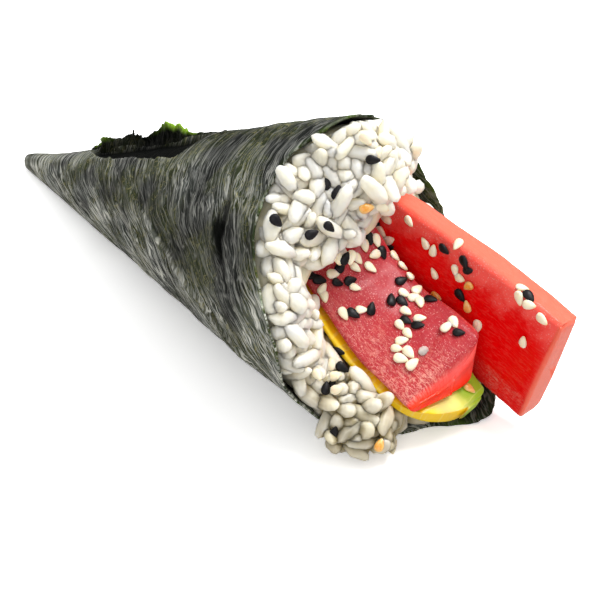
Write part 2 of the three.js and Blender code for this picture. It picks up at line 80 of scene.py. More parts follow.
# %% Building node trees
class Recipe:
    def __init__(self, tree):
        self.tree = tree

    def add(self, kind, inputs=None, **settings):
        """A node, with a number, a colour or another node's output for each named input."""
        node = self.tree.nodes.new(kind)
        for name, value in settings.items():
            setattr(node, name, value)
        for name, value in (inputs or {}).items():
            if isinstance(value, bpy.types.NodeSocket):
                self.tree.links.new(value, node.inputs[name])
            else:
                node.inputs[name].default_value = value
        return node

    def maths(self, operation, first, *others):
        for other in others:
            first = self.add("ShaderNodeMath", {0: first, 1: other}, operation=operation).outputs[0]
        return first

    def plus(self, *values):
        return self.maths("ADD", *values)

    def minus(self, *values):
        return self.maths("SUBTRACT", *values)

    def times(self, *values):
        return self.maths("MULTIPLY", *values)

    def vectors(self, operation, first, second):
        socket = 3 if operation == "SCALE" else 1
        return self.add("ShaderNodeVectorMath", {0: first, socket: second}, operation=operation).outputs[0]

    def split(self, vector):
        return self.add("ShaderNodeSeparateXYZ", {0: vector}).outputs

    def mix(self, factor, first, second):
        """`first` where the factor is 0 and `second` where it is 1."""
        solid = [c if isinstance(c, bpy.types.NodeSocket) else (*c, 1) for c in (first, second)]
        return self.add("ShaderNodeMix", {0: factor, 6: solid[0], 7: solid[1]}, data_type="RGBA").outputs[2]

    def ramp(self, value, low, high, to_low=0.0, to_high=1.0):
        """A soft step of a value: `to_low` up to `low`, and `to_high` from `high` on."""
        inputs = {"Value": value, "From Min": low, "From Max": high, "To Min": to_low, "To Max": to_high}
        return self.add("ShaderNodeMapRange", inputs, interpolation_type="SMOOTHSTEP").outputs["Result"]

    def scaled(self, mask, low, high):
        """A value that goes from `low` to `high` as a mask goes from 0 to 1."""
        return self.ramp(mask, 0.0, 1.0, low, high)

    def swing(self, mask, amount):
        """A mask as a swing of half the amount to both sides of 0."""
        return self.times(self.minus(mask, 0.5), amount)

    def measure(self, name):
        """A value that the mesh carries at each vertex."""
        return self.add("ShaderNodeAttribute", attribute_name=name).outputs["Fac"]

    def on_map(self, name):
        return self.add("ShaderNodeUVMap", uv_map=name).outputs["UV"]

    def in_object(self):
        return self.add("ShaderNodeTexCoord").outputs["Object"]

    def use(self, group, **inputs):
        """Places a shared group with its own values."""
        return self.add("ShaderNodeGroup", inputs, node_tree=group).outputs["Mask"]

    def bump(self, height, strength, distance):
        inputs = {"Height": height, "Strength": strength, "Distance": distance}
        return self.add("ShaderNodeBump", inputs).outputs["Normal"]


class Finish(Recipe):
    """A material's recipe. The values given here are the same all over the surface."""

    def __init__(self, name, **uniform):
        self.material = bpy.data.materials.new(name)
        self.material.use_nodes = True
        super().__init__(self.material.node_tree)
        self.shader = self.tree.nodes["Principled BSDF"]
        for socket, value in uniform.items():
            self.shader.inputs[socket.replace("_", " ")].default_value = value

    def done(self, **sources):
        """Joins outputs to the shader's sockets."""
        for socket, source in sources.items():
            self.tree.links.new(source, self.shader.inputs[socket.replace("_", " ")])
        return self.material


# %% [markdown]
# ## Camera and light
# The camera looks down on the mouth from the near side. A long lens keeps the cone from bulging. Food on a
# white sheet wants large soft lamps: one high behind the mouth, so that the rice glows and the shadow falls
# towards the viewer, and a bright sky all round.

# %% The camera
CAMERA_AZIMUTH = math.radians(46.2)
CAMERA_ELEVATION = math.radians(36.8)
CAMERA_DISTANCE = 0.2412
CAMERA_TARGET = Vector((0.0370, -0.0105, 0.0244))
CAMERA_LENS = 72
PICTURE = 600  # the picture is square
SENSOR = 36

to_camera = Vector((
    math.sin(CAMERA_AZIMUTH) * math.cos(CAMERA_ELEVATION),
    -math.cos(CAMERA_AZIMUTH) * math.cos(CAMERA_ELEVATION),
    math.sin(CAMERA_ELEVATION),
))
camera = bpy.data.objects.new("camera", bpy.data.cameras.new("camera"))
bpy.context.scene.collection.objects.link(camera)
camera.data.lens = CAMERA_LENS
camera.data.sensor_width = SENSOR
camera.data.clip_start = 0.01
camera.location = CAMERA_TARGET + to_camera * CAMERA_DISTANCE
camera.rotation_mode = "QUATERNION"
camera.rotation_quaternion = (-to_camera).to_track_quat("-Z", "Y")
bpy.context.scene.camera = camera


def sight(x, y):
    """The line of sight through a point of the picture: where it starts and its direction."""
    across = (x / PICTURE - 0.5) * SENSOR / CAMERA_LENS
    down = (y / PICTURE - 0.5) * SENSOR / CAMERA_LENS
    return camera.location, camera.rotation_quaternion @ Vector((across, -down, -1)).normalized()


# %% Lamps and sky
def lamp(name, place, aim, size, power, colour=(1, 1, 1)):
    light = bpy.data.objects.new(name, bpy.data.lights.new(name, "AREA"))
    bpy.context.scene.collection.objects.link(light)
    light.data.shape = "DISK"
    light.data.size = size
    light.data.energy = power
    light.data.color = colour
    light.location = place
    light.rotation_mode = "QUATERNION"
    light.rotation_quaternion = (Vector(aim) - Vector(place)).to_track_quat("-Z", "Y")
    return light


SKY_HIGH, SKY_LOW = 0.85, 0.30  # straight up, and at the horizon

lamp("high_soft", (0.14, 0.20, 0.48), (0.03, 0, 0.02), 0.26, 2.8)
lamp("near_fill", (0.34, -0.34, 0.26), (0.03, 0, 0.02), 0.30, 0.5)

sky = bpy.data.worlds.new("sky")
sky.use_nodes = True
overhead = Recipe(sky.node_tree)
upwards = overhead.split(overhead.add("ShaderNodeTexCoord").outputs["Generated"])[2]
backdrop = sky.node_tree.nodes["Background"]
sky.node_tree.links.new(overhead.ramp(upwards, 0.0, 0.9, SKY_LOW, SKY_HIGH), backdrop.inputs["Strength"])
backdrop.inputs["Color"].default_value = (1, 1, 1, 1)
bpy.context.scene.world = sky
bpy.context.scene.view_settings.view_transform = "Standard"

# %% [markdown]
# ## From places to pieces
# A finished piece is a mesh at the frame's origin. These two make one and say how big it came out.

# %% Mesh helpers
def piece_from(name, points, faces, material, values=None):
    """An object at the origin from places in the frame, with smooth faces and a value at each vertex."""
    mesh = bpy.data.meshes.new(name)
    mesh.from_pydata([tuple(p) for p in points], [], faces)
    mesh.validate()
    mesh.polygons.foreach_set("use_smooth", [True] * len(mesh.polygons))
    for key, numbers in (values or {}).items():
        attribute = mesh.attributes.new(key, "FLOAT", "POINT")
        attribute.data.foreach_set("value", np.asarray(numbers, np.float32).ravel())
    if material:
        mesh.materials.append(material)
    made = bpy.data.objects.new(name, mesh)
    bpy.context.scene.collection.objects.link(made)
    return made


def report(made):
    triangles = sum(len(p.vertices) - 2 for p in made.data.polygons)
    size = [round(1000 * side, 1) for side in made.dimensions]
    print(f"{made.name}: {triangles} triangles, {size} mm")
    return made


# %% [markdown]
# ## Effects that the finishes share
# Food has three habits that nearly every surface here shows: soft blotches where it is thicker or drier,
# pinprick speckles, and fibres or folds that run one way. On the tuna the speckles are painted highlights,
# and on the nori some blotches are a painted sheen. Each is a node group, made once, and every finish places
# it with its own scale.

# %% Shared groups
class Effect(Recipe):
    """A shared group's recipe: a vector and named numbers go in, and one mask comes out."""

    def __init__(self, name, **numbers):
        super().__init__(bpy.data.node_groups.new(name, "ShaderNodeTree"))
        face = self.tree.interface
        face.new_socket("Vector", in_out="INPUT", socket_type="NodeSocketVector")
        for socket, value in numbers.items():
            face.new_socket(socket, in_out="INPUT", socket_type="NodeSocketFloat").default_value = value
        face.new_socket("Mask", in_out="OUTPUT", socket_type="NodeSocketFloat")
        self.given = self.tree.nodes.new("NodeGroupInput").outputs
        self.out = self.tree.nodes.new("NodeGroupOutput").inputs

    def done(self, mask):
        self.tree.links.new(mask, self.out["Mask"])
        return self.tree


def make_blotches():
    """Soft patches: 0 between them and 1 on them."""
    fx = Effect("blotches", Scale=100.0, Detail=3.0, From=0.4, To=0.6, Warp=0.0)
    inputs = {name: fx.given[name] for name in ("Vector", "Scale", "Detail")}
    inputs |= {"Distortion": fx.given["Warp"], "Roughness": 0.55}
    patches = fx.add("ShaderNodeTexNoise", inputs).outputs["Fac"]
    return fx.done(fx.ramp(patches, fx.given["From"], fx.given["To"]))


def make_speckles():
    """Small points of uneven size: 1 at their middle and 0 off them."""
    fx = Effect("speckles", Scale=1000.0, Size=0.3)
    inputs = {"Vector": fx.given["Vector"], "Scale": fx.given["Scale"], "Randomness": 1.0}
    cells = fx.add("ShaderNodeTexVoronoi", inputs, feature="F1").outputs
    chance = fx.add("ShaderNodeSeparateColor", {"Color": cells["Color"]}).outputs["Red"]
    closeness = fx.minus(fx.times(fx.given["Size"], chance), cells["Distance"])
    return fx.done(fx.ramp(closeness, 0.0, 0.12))


def make_strands():
    """Thin ridges that run along the second coordinate: 1 on a ridge."""
    fx = Effect("strands", Across=100.0, Along=8.0, Width=0.06, Wander=0.02)
    along = fx.given["Vector"]
    wander = fx.add("ShaderNodeTexNoise", {"Vector": along, "Scale": 14.0, "Detail": 2.0}).outputs["Color"]
    shift = fx.vectors("SCALE", fx.vectors("SUBTRACT", wander, (0.5, 0.5, 0.5)), fx.given["Wander"])
    stretch = {"X": fx.given["Across"], "Y": fx.given["Along"], "Z": 1.0}
    stretch = fx.add("ShaderNodeCombineXYZ", stretch).outputs[0]
    place = fx.vectors("MULTIPLY", fx.vectors("ADD", along, shift), stretch)
    lines = fx.add("ShaderNodeTexNoise", {"Vector": place, "Scale": 1.0, "Detail": 3.0}).outputs["Fac"]
    away = fx.maths("ABSOLUTE", fx.minus(lines, 0.5), 0.0)
    return fx.done(fx.ramp(away, 0.0, fx.given["Width"], 1.0, 0.0))


BLOTCHES, SPECKLES, STRANDS = make_blotches(), make_speckles(), make_strands()
print("shared effects:", BLOTCHES.name, SPECKLES.name, STRANDS.name)

# %% [markdown]
# ## The cone
# A hand roll is a half sheet of nori wound into a cone. Every piece is placed by the cone: how far
# along its axis, at which angle round it (0 on top, -90 on the near side, 90 on the far side, 180 on the
# table) and how far from the axis. Numbers come in arrays, so one call shapes the whole sheet.

# %% The cone's own coordinates
CONE_HALF_ANGLE = math.radians(13)
CONE_FLATTEN = 0.92  # the roll is a little narrower than it is tall
TIP_AT = 7.5  # where the blunt tip starts
NORI_THICK = 1.2  # the sheet lies double round the roll
NORI_LAYER = 0.6
CAVITY_FROM = 17  # the tip is wound solid up to here
TABLE = 0.6  # the cone's underside is pressed flat to here
SLOPE = math.tan(CONE_HALF_ANGLE)
AXIS = np.array([math.cos(CONE_HALF_ANGLE), 0, math.sin(CONE_HALF_ANGLE)])
RISE = np.array([-AXIS[2], 0, AXIS[0]])  # across the axis, to the top of the cone
SIDEWAYS = np.array([0, CONE_FLATTEN, 0])
OFF_MIDDLE = 0.79  # the roll's middle line lies this far to the near side of the frame's
TIP_CROWN = 1.2  # the tip is fuller on top
CROWN_AT, CROWN_REACH, CROWN_HALF = 9, 10, 60

nori_low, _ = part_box("nori_wrap")
tip_radius = TIP_AT * SLOPE + TIP_CROWN * math.exp(-(((TIP_AT - CROWN_AT) / CROWN_REACH) ** 2))
tip_top = TIP_AT * math.cos(CONE_HALF_ANGLE) - tip_radius * math.sin(CONE_HALF_ANGLE)
APEX = np.array([1000 * nori_low.x - tip_top, OFF_MIDDLE, -TABLE])

# How far the rim reaches along the axis, at angles round the cone. One corner of the sheet reaches furthest.
RIM_ANGLES = np.array([-180, -150, -125, -90, -58, -25, 2, 35, 78, 105, 135, 158])
RIM_REACH = np.array([148.5, 142.5, 139.8, 142, 134.6, 132.6, 136.5, 131, 131, 135.5, 143, 156])


def in_frame(points):
    return (np.asarray(points) + APEX) / 1000


def on_cone(along, angle, radius):
    turn = np.radians(angle)
    shape = np.broadcast_shapes(np.shape(along), np.shape(angle), np.shape(radius))
    along, turn, radius = (np.broadcast_to(v, shape)[..., None] for v in (along, turn, radius))
    return AXIS * along + RISE * radius * np.cos(turn) + SIDEWAYS * radius * np.sin(turn)


def cone_place(points):
    """The reverse: how far along, at which angle and how far out a point lies."""
    points = np.asarray(points)
    rise, side = points @ RISE, points[..., 1] / CONE_FLATTEN
    return points @ AXIS, np.degrees(np.arctan2(side, rise)), np.hypot(rise, side)


def rim_at(angle):
    """A smooth closed curve through the reaches in the table."""
    at = (np.asarray(angle, float) + 180) % 360 - 180
    k = np.searchsorted(RIM_ANGLES, at, side="right") - 1
    ends = np.append(RIM_ANGLES[1:], 180)
    t = (at - RIM_ANGLES[k]) / (ends[k] - RIM_ANGLES[k])
    a, b, c, d = (RIM_REACH[(k + i) % len(RIM_REACH)] for i in (-1, 0, 1, 2))
    return b + 0.5 * t * (c - a + t * (2 * a - 5 * b + 4 * c - d + t * (3 * (b - c) + d - a)))


def bell(x, width):
    return np.exp(-((x / width) ** 2))


def step(x, low, high):
    t = np.clip((np.asarray(x, float) - low) / (high - low), 0, 1)
    return t * t * (3 - 2 * t)


def ripple(u, v, size, seed=0):
    """Smooth noise of about -1 to 1 at every place, with bumps `size` across."""
    u, v = np.broadcast_arrays(np.asarray(u, float) / size, np.asarray(v, float) / size)
    flat = [noise.noise(Vector((x, y, 7.7 * seed))) for x, y in zip(u.ravel(), v.ravel())]
    return np.array(flat).reshape(u.shape)


print("apex in the frame:", APEX.round(2), "mm")
print("the rim reaches from", RIM_REACH.min(), "to", RIM_REACH.max(), "mm along the axis")

# %% [markdown]
# ## The nori sheet
# Nori is pressed seaweed: a crisp sheet of matted fibres, nearly black, with olive where it is thin. A grey
# sheen is painted where it would catch the light, and painted shade darkens its grooves, the tear and a
# crease. Damp rice makes it shrink into fine folds that run round the cone and fan out from where it was
# pinched. One grid of rings would do for a smooth cone. Here each vertex is also moved in or out by folds, a
# lap, a tear and a crease, because folds that only exist in a bump map disappear from the outline. The same
# fold coordinates are stored as a
# UV map for the fibres.

# %% Folds, lap, tear and crease
PINCH_ANGLE = -20  # the folds fan out from this line along the top
FOLDS = ((0.55, 6, 4.6, 8), (0.55, 5, 2.3, 6), (0.25, 4, 1.2, 7))  # height, stretch, size and seed
FOLD_HEIGHT = 0.75
TEAR_ANGLES = (-23, 16)
TEAR_DEEP = 2.1
PIT_AT = (121, -61)  # a dark crease behind the rim: along the axis, and its angle
LAP_ANGLE, LAP_HALF = -92, 34  # where the lap stands off the layer under it
LAP_LEAN = 0.78  # millimetres along the axis for each degree round it


def unrolled(along, angle):
    """The sheet laid flat: a cone unrolls without stretching."""
    slant = along / math.cos(CONE_HALF_ANGLE)
    turn = np.radians(angle) * math.sin(CONE_HALF_ANGLE)
    return slant * np.cos(turn), slant * np.sin(turn)


def fold_place(along, angle):
    """Across the folds and along them, in millimetres."""
    x, y = unrolled(along, angle)
    pinch = unrolled(along, PINCH_ANGLE)[1]
    run = np.sqrt((y - pinch) ** 2 + 9) - 3
    lean = np.where(y < pinch, 0.95 - 0.62 * step(x, 55, 125), 0.28)
    across = x - lean * run + 1.6 * ripple(x, y, 11, 1)
    return across, np.where(y < pinch, -run, run)


def tear_depth(along, angle):
    """1 where the outer layer is torn away on top, and 0 off the tear."""
    ragged = 2.2 * ripple(along, 0, 2.3, 2) + 1.2 * ripple(along, 9, 0.9, 3)
    near = TEAR_ANGLES[0] + 20 * bell(along - 40, 9) + 20 * bell(along - 95, 5) + ragged
    open_along = step(along, 40, 44) * step(94 - along, 0, 3)
    return open_along * step(angle, near - 1.6, near + 1.2) * step(TEAR_ANGLES[1] - angle, 0, 3)


def lap_line(angle):
    """Where the free edge of the outer layer lies along the axis."""
    return 88.5 - LAP_LEAN * (angle + 66) + 1.2 * ripple(angle, 0, 7, 4) + 0.5 * ripple(angle, 3, 2.2, 5)


def folds_at(along, angle):
    """The height of the folds: about -1 in the deepest groove and 1 on the highest ridge."""
    across, run = fold_place(along, angle)
    high = sum(tall * ripple(across, run / stretch, size, seed) for tall, stretch, size, seed in FOLDS)
    near_rim = bell(angle + 78, 40) * step(along, 100, 128)
    gathers = 0.9 * np.maximum(0, ripple(across, run / 7, 3.6, 9)) * near_rim
    return high - gathers - 1.6 * pit(along, angle)


def pit(along, angle):
    """1 in the deepest part of the crease behind the rim, and 0 off it."""
    deep = bell(along - PIT_AT[0], 2.4) * bell(angle - PIT_AT[1] + 0.7 * (along - PIT_AT[0]), 11)
    return np.clip(deep * (1 + 1.2 * ripple(along, angle / 5, 1.6, 14)), 0, 1)


def nori_relief(along, angle):
    """How far the outside stands off the plain cone."""
    to_lap = lap_line(angle) - along
    lap = 1.3 * NORI_LAYER * step(to_lap, -0.4, 0.4) * bell(angle - LAP_ANGLE, LAP_HALF) * bell(to_lap, 30)
    lip = 0.4 * bell(to_lap - 0.8, 1.0) * bell(angle - LAP_ANGLE, 30)
    torn = tear_depth(along, angle)
    hem = 0.5 * bell(angle - TEAR_ANGLES[0] + 3, 4) * step(along, 42, 50) * step(92 - along, 0, 8)
    waves = 0.3 * np.sin(np.radians(7 * angle + along)) + 0.2 * np.sin(np.radians(13 * angle - 2 * along))
    tip = TIP_CROWN * bell(along - CROWN_AT, CROWN_REACH) * bell(angle, CROWN_HALF)
    folds = FOLD_HEIGHT * folds_at(along, angle) * step(along, 14, 60) * (1 - 0.7 * torn)
    off_table = step(180 - np.abs(angle), 10, 34)
    loose = (waves * step(along, 20, 120) + folds) * off_table
    return lap + lip + tip + hem * (1 - torn) - TEAR_DEEP * torn + loose


def outside(along, angle):
    """The sheet's outside, pressed flat on the table."""
    points = on_cone(along, angle, along * SLOPE + nori_relief(along, angle))
    points[..., 2] = np.maximum(points[..., 2], TABLE)
    return points


# %% The nori's finish
# Painted light and shade among these colours: the grey sheen, the near black of the grooves and the pocket,
# the lap's pale edge and the green lit through thin edges.
NEARLY_BLACK, OLIVE, PAINTED_SHEEN_GREY = (0.002, 0.003, 0.002), (0.020, 0.028, 0.005), (0.165, 0.19, 0.165)
FLECK, LOOSE_FIBRE, LAP_EDGE_HIGHLIGHT = (0.16, 0.155, 0.04), (0.34, 0.31, 0.14), (0.46, 0.45, 0.37)
FINE_FIBRE, COARSE_FIBRE = (0.46, 0.47, 0.44), (0.80, 0.80, 0.72)
PAINTED_GROOVE_SHADE, PAINTED_SHADE_BLACK, LIT_THROUGH = (0.003, 0.003, 0.003), (0.0015, 0.002, 0.0015), (0.28, 0.50, 0.03)


def make_nori(name, gloss):
    nori = Finish(name, Specular_IOR_Level=gloss)
    mix, times, use = nori.mix, nori.times, nori.use
    flat, fold = nori.on_map("sheet"), nori.on_map("folds")
    painted_backlight, bare, ridge, hem, grey_and_painted_light = (nori.measure(value) for value in ("painted_backlight", "bare", "ridge", "hem", "grey_and_painted_light"))
    thick = use(BLOTCHES, Vector=flat, Scale=7.0, Detail=6.0, From=0.42, To=0.6)
    # Painted sheen: grey patches, strongest on the fold crests and where the sheet is painted light.
    painted_sheen = use(BLOTCHES, Vector=fold, Scale=13.0, Detail=5.0, From=0.36, To=0.66, Warp=0.5)
    painted_sheen = times(painted_sheen, nori.ramp(ridge, -0.5, 0.6, 0.2, 1.0), grey_and_painted_light)
    coarse = use(STRANDS, Vector=fold, Across=52.0, Along=8.0, Width=0.034, Wander=0.05)
    fine = use(STRANDS, Vector=fold, Across=120.0, Along=14.0, Width=0.055, Wander=0.03)
    loose = use(STRANDS, Vector=flat, Across=60.0, Along=26.0, Width=0.016, Wander=0.12)
    flecks = use(SPECKLES, Vector=flat, Scale=120.0, Size=0.55)
    # The pale fibres show most where the sheet is painted light and where its sheen is painted.
    painted_light_on_fibres = nori.plus(times(grey_and_painted_light, 0.75), nori.scaled(painted_sheen, 0.1, 0.5))
    base = mix(thick, NEARLY_BLACK, OLIVE)
    base = mix(times(painted_sheen, 0.8), base, PAINTED_SHEEN_GREY)
    base = mix(times(flecks, thick, 0.4), base, FLECK)
    base = mix(times(fine, painted_light_on_fibres), base, FINE_FIBRE)
    base = mix(times(coarse, painted_light_on_fibres), base, COARSE_FIBRE)
    base = mix(times(loose, thick, 0.6), base, LOOSE_FIBRE)
    # Painted shade: the grooves between folds, and partly the inside of the roll, go nearly black.
    base = mix(nori.ramp(ridge, -1.0, -0.3, 0.85, 0.0), base, PAINTED_GROOVE_SHADE)
    # Painted highlight: a pale line along the free edge of the lap.
    base = mix(times(hem, 0.7), base, LAP_EDGE_HIGHLIGHT)
    # Painted shade: the tear's pocket, the crease behind the rim and the flap go nearly black.
    base = mix(bare, base, PAINTED_SHADE_BLACK)
    # Painted light: green where light would shine through the thin rim and the flap's edge.
    base = mix(painted_backlight, base, LIT_THROUGH)
    height = nori.plus(times(coarse, 0.7), times(fine, 0.5), times(loose, 0.4))
    rough = nori.scaled(painted_sheen, 0.7, 0.42)
    return nori.done(Base_Color=base, Roughness=rough, Normal=nori.bump(height, 0.6, 0.0003))


NORI = make_nori("toasted_nori", 0.16)
# A copy of the finish with less gloss, for the parts in painted shade.
SHADED_NORI = make_nori("torn_nori", 0.04)

# %% The sheet as one closed skin
NORI_ROUND = 250  # vertices round the cone
NORI_DOWN = 262  # rings from the tip to the rim
RIM_THICK = 0.45  # the rim shows one or two layers
INSIDE_RINGS = 26


def sheet_grid():
    """Rings of points for the outside, the rim and the inside, with where each ring lies on the sheet."""
    angle = np.linspace(-180, 180, NORI_ROUND + 1)
    rim = rim_at(angle) + 0.55 * ripple(angle, 0, 4.1, 9) + 0.3 * ripple(angle, 0, 1.3, 10)
    rim[-1] = rim[0]
    rings, where = [], []
    for share in np.linspace(0, 1, NORI_DOWN):
        along = TIP_AT + (rim - TIP_AT) * share
        rings.append(outside(along, angle))
        where.append(along)
    last = rings[-1]
    middle = on_cone(rim, angle, 0 * rim)
    inward = middle - last
    inward /= np.linalg.norm(inward, axis=1)[:, None]
    rings.append(last + AXIS * 0.12 + inward * RIM_THICK / 2)
    rings.append(last + inward * RIM_THICK)
    where += [rim, rim]
    for share in np.linspace(0.02, 1, INSIDE_RINGS):
        along = rim + (CAVITY_FROM - rim) * share
        thick = RIM_THICK + (NORI_THICK - RIM_THICK) * step(rim - along, 0, 8)
        inside = outside(along, angle)
        towards = on_cone(along, angle, 0 * along) - inside
        rings.append(inside + towards / np.linalg.norm(towards, axis=1)[:, None] * thick[:, None])
        where.append(along)
    return angle, np.array(rings), np.array(where)


def skin(rings):
    """Vertices and faces of a closed skin over rings whose last column repeats the first."""
    count, columns = rings.shape[0], rings.shape[1] - 1
    points = rings[:, :-1].reshape(-1, 3)
    ends = np.array([rings[0, :-1].mean(0), rings[-1, :-1].mean(0)])
    at = lambda r, c: r * columns + c % columns
    faces = [
        (at(r, c), at(r, c + 1), at(r + 1, c + 1), at(r + 1, c))
        for r in range(count - 1)
        for c in range(columns)
    ]
    tip = len(points)
    faces += [(tip, at(0, c + 1), at(0, c)) for c in range(columns)]
    faces += [(tip + 1, at(count - 1, c), at(count - 1, c + 1)) for c in range(columns)]
    return np.vstack([points, ends]), faces


def turned_out(points, faces):
    """The faces in the order that makes the closed skin face outwards."""
    six = sum(points[f[0]] @ np.cross(points[f[1]], points[f[2]]) for f in faces)
    return faces if six > 0 else [tuple(reversed(f)) for f in faces]


def give_uv(made, name, grid):
    """Stores a map on a skin: `grid` holds a place for each ring and column, the repeated column included."""
    count, wide = grid.shape[0], grid.shape[1]
    columns = wide - 1
    layer = made.data.uv_layers.new(name=name)
    places = np.zeros((len(made.data.loops), 2), np.float32)
    for polygon in made.data.polygons:
        corners = [made.data.loops[i].vertex_index for i in polygon.loop_indices]
        cells = [(min(v // columns, count - 1), v % columns) for v in corners if v < count * columns]
        wraps = any(c == columns - 1 for _, c in cells) and any(c == 0 for _, c in cells)
        middle = grid[cells[0][0], max(c for _, c in cells)]
        for loop, vertex in zip(polygon.loop_indices, corners):
            if vertex >= count * columns:
                places[loop] = middle
                continue
            r, c = vertex // columns, vertex % columns
            places[loop] = grid[r, columns if wraps and c == 0 else c]
    layer.data.foreach_set("uv", places.ravel())


def grey_and_painted_light_at(along, angle, to_lap):
    """How grey and pale the sheet is: most on the outer layer, partly its own grey, and low on the near side,
    as painted light.
    """
    flank = step(-angle, 50, 80)
    outer_layer = step(to_lap, -0.3, 0.3) * flank
    low = 1.1 * step(-angle, 82, 100)
    crest = 0.35 * bell(angle + 42, 12) * step(along, 80, 100)
    tip = 0.8 * bell(along, 45)
    rim = 0.9 * bell(rim_at(angle) - along, 12) * flank
    patchy = 0.75 + 0.9 * ripple(along, angle / 3, 8, 13)
    return np.clip((0.12 + np.maximum.reduce([outer_layer, low, crest, tip, rim])) * patchy, 0, 1)


def make_sheet():
    angle, rings, where = sheet_grid()
    points, faces = skin(rings)
    angles = np.broadcast_to(angle, where.shape)
    outer = (np.arange(len(rings)) < NORI_DOWN)[:, None]
    to_lap = lap_line(angles) - where
    # Painted light along parts of the rim: green, as if lit through the thin edge.
    rim_close = bell(rim_at(angles) - where, 0.8) * (0.25 + 0.75 * step(ripple(angles, 0, 9, 11), 0.1, 0.5))
    lap_edge = bell(to_lap - 0.2, 0.45) * bell(angles - LAP_ANGLE, 26) * outer
    grids = {
        # Painted shade in the tear's pocket and in the crease behind the rim.
        "bare": np.maximum(tear_depth(where, angles), pit(where, angles)) * outer,
        "painted_backlight": 0.15 * rim_close,
        # The inside gets a low fold height, so it takes some painted groove shade and little painted sheen.
        "ridge": np.where(outer, folds_at(where, angles), -0.6),
        # Painted highlight along the lap's free edge.
        "hem": lap_edge * (0.5 + 0.5 * ripple(angles, 0, 3, 12)),
        # Grey and pale: partly the outer layer's own grey, and painted light low on the near side.
        "grey_and_painted_light": grey_and_painted_light_at(where, angles, to_lap),
    }
    values = {key: np.append(grid[:, :-1].ravel(), [0, 0]) for key, grid in grids.items()}
    made = piece_from("nori_sheet", in_frame(points), turned_out(points, faces), NORI, values)
    made.data.materials.append(SHADED_NORI)
    # Faces that lie mostly in painted shade take the copy with less gloss.
    for polygon in made.data.polygons:
        polygon.material_index = int(np.mean(values["bare"][list(polygon.vertices)]) > 0.5)
    give_uv(made, "sheet", np.stack(unrolled(where, angles), -1) / 100)
    give_uv(made, "folds", np.stack(fold_place(where, angles), -1) / 100)
    return made


nori_sheet = report(make_sheet())

# %% [markdown]
# ## The torn flap
# On top, near the tip, the outer layer has torn and a ragged corner stands up. It is painted nearly black, as
# shade, and its thin edge is painted green, as where light shines through it and shows the green of the
# seaweed.
# A strip of quads whose top edge follows uneven humps gives the shape, and Solidify gives it the thickness of
# a leaf.

# %% The flap
FLAP_FROM, FLAP_TO, FLAP_ANGLE = 37, 92, 15
FLAP_HUMPS = ((45, 4, 2.0), (55, 5, 2.2), (71, 5, 3.4), (60, 25, 0.4))  # where, how wide, how tall
FLAP_THICK = 0.3


def make_flap():
    along = np.linspace(FLAP_FROM, FLAP_TO, 170)
    tall = sum(height * bell(along - at, wide) for at, wide, height in FLAP_HUMPS)
    ragged = 1 + 0.35 * ripple(along, 0, 1.1, 20) + 0.25 * ripple(along, 4, 0.45, 21)
    tall = 0.4 + tall * ragged
    up = np.linspace(0, 1, 12)[:, None]
    foot = along * SLOPE - 1.4
    radius = foot + (tall + 1.4) * up
    lean = FLAP_ANGLE + (2 + 3 * np.sin(along / 4)) * up + 9 * up**2 * ripple(along, 0, 5, 22)
    lean = lean + 5 * ripple(along + 0 * up, 3 * up, 1.6, 23) * up
    points = on_cone(along + 1.2 * ripple(along, 5, 3, 24) * up, lean, radius)
    rows, columns = points.shape[:2]
    faces = [
        (r * columns + c, r * columns + c + 1, (r + 1) * columns + c + 1, (r + 1) * columns + c)
        for r in range(rows - 1)
        for c in range(columns - 1)
    ]
    # Painted light: the flap's edge is green where light would shine through it.
    green = 0.6 * bell(along - 43, 3) + 0.9 * bell(along - 74, 4.5)
    painted_backlight = np.clip(green * step(up, 0.62, 1.0), 0, 1)
    # Painted shade over the flap, less where its edge is painted as lit through.
    bare = np.clip(1 - 1.6 * painted_backlight, 0, 1) * 0.75
    values = {"painted_backlight": painted_backlight, "bare": bare, "ridge": 0 * painted_backlight, "hem": 0 * painted_backlight, "grey_and_painted_light": 0 * painted_backlight}
    made = piece_from("nori_flap", in_frame(points.reshape(-1, 3)), faces, SHADED_NORI, values)
    flat = np.stack([np.broadcast_to(along, radius.shape), radius], -1).reshape(-1, 2) / 100
    for name in ("sheet", "folds"):
        layer = made.data.uv_layers.new(name=name)
        places = flat[[loop.vertex_index for loop in made.data.loops]]
        layer.data.foreach_set("uv", places.astype(np.float32).ravel())
    leaf = made.modifiers.new("leaf", "SOLIDIFY")
    leaf.thickness = FLAP_THICK / 1000
    leaf.offset = 0
    return made


nori_flap = report(make_flap())

# %% [markdown]
# ## Cut slabs
# The two slabs of tuna and the slice of avocado are cut with a knife: a section with rounded corners, drawn
# along a bent line. A Curve object with a bevel would twist the section and can't round off one side of the
# free end, so the rings are placed one by one: at each step a frame of side, up and forward, and in it the
# section. Close to the free end, the section is cut back along a quarter circle, as a slice is.

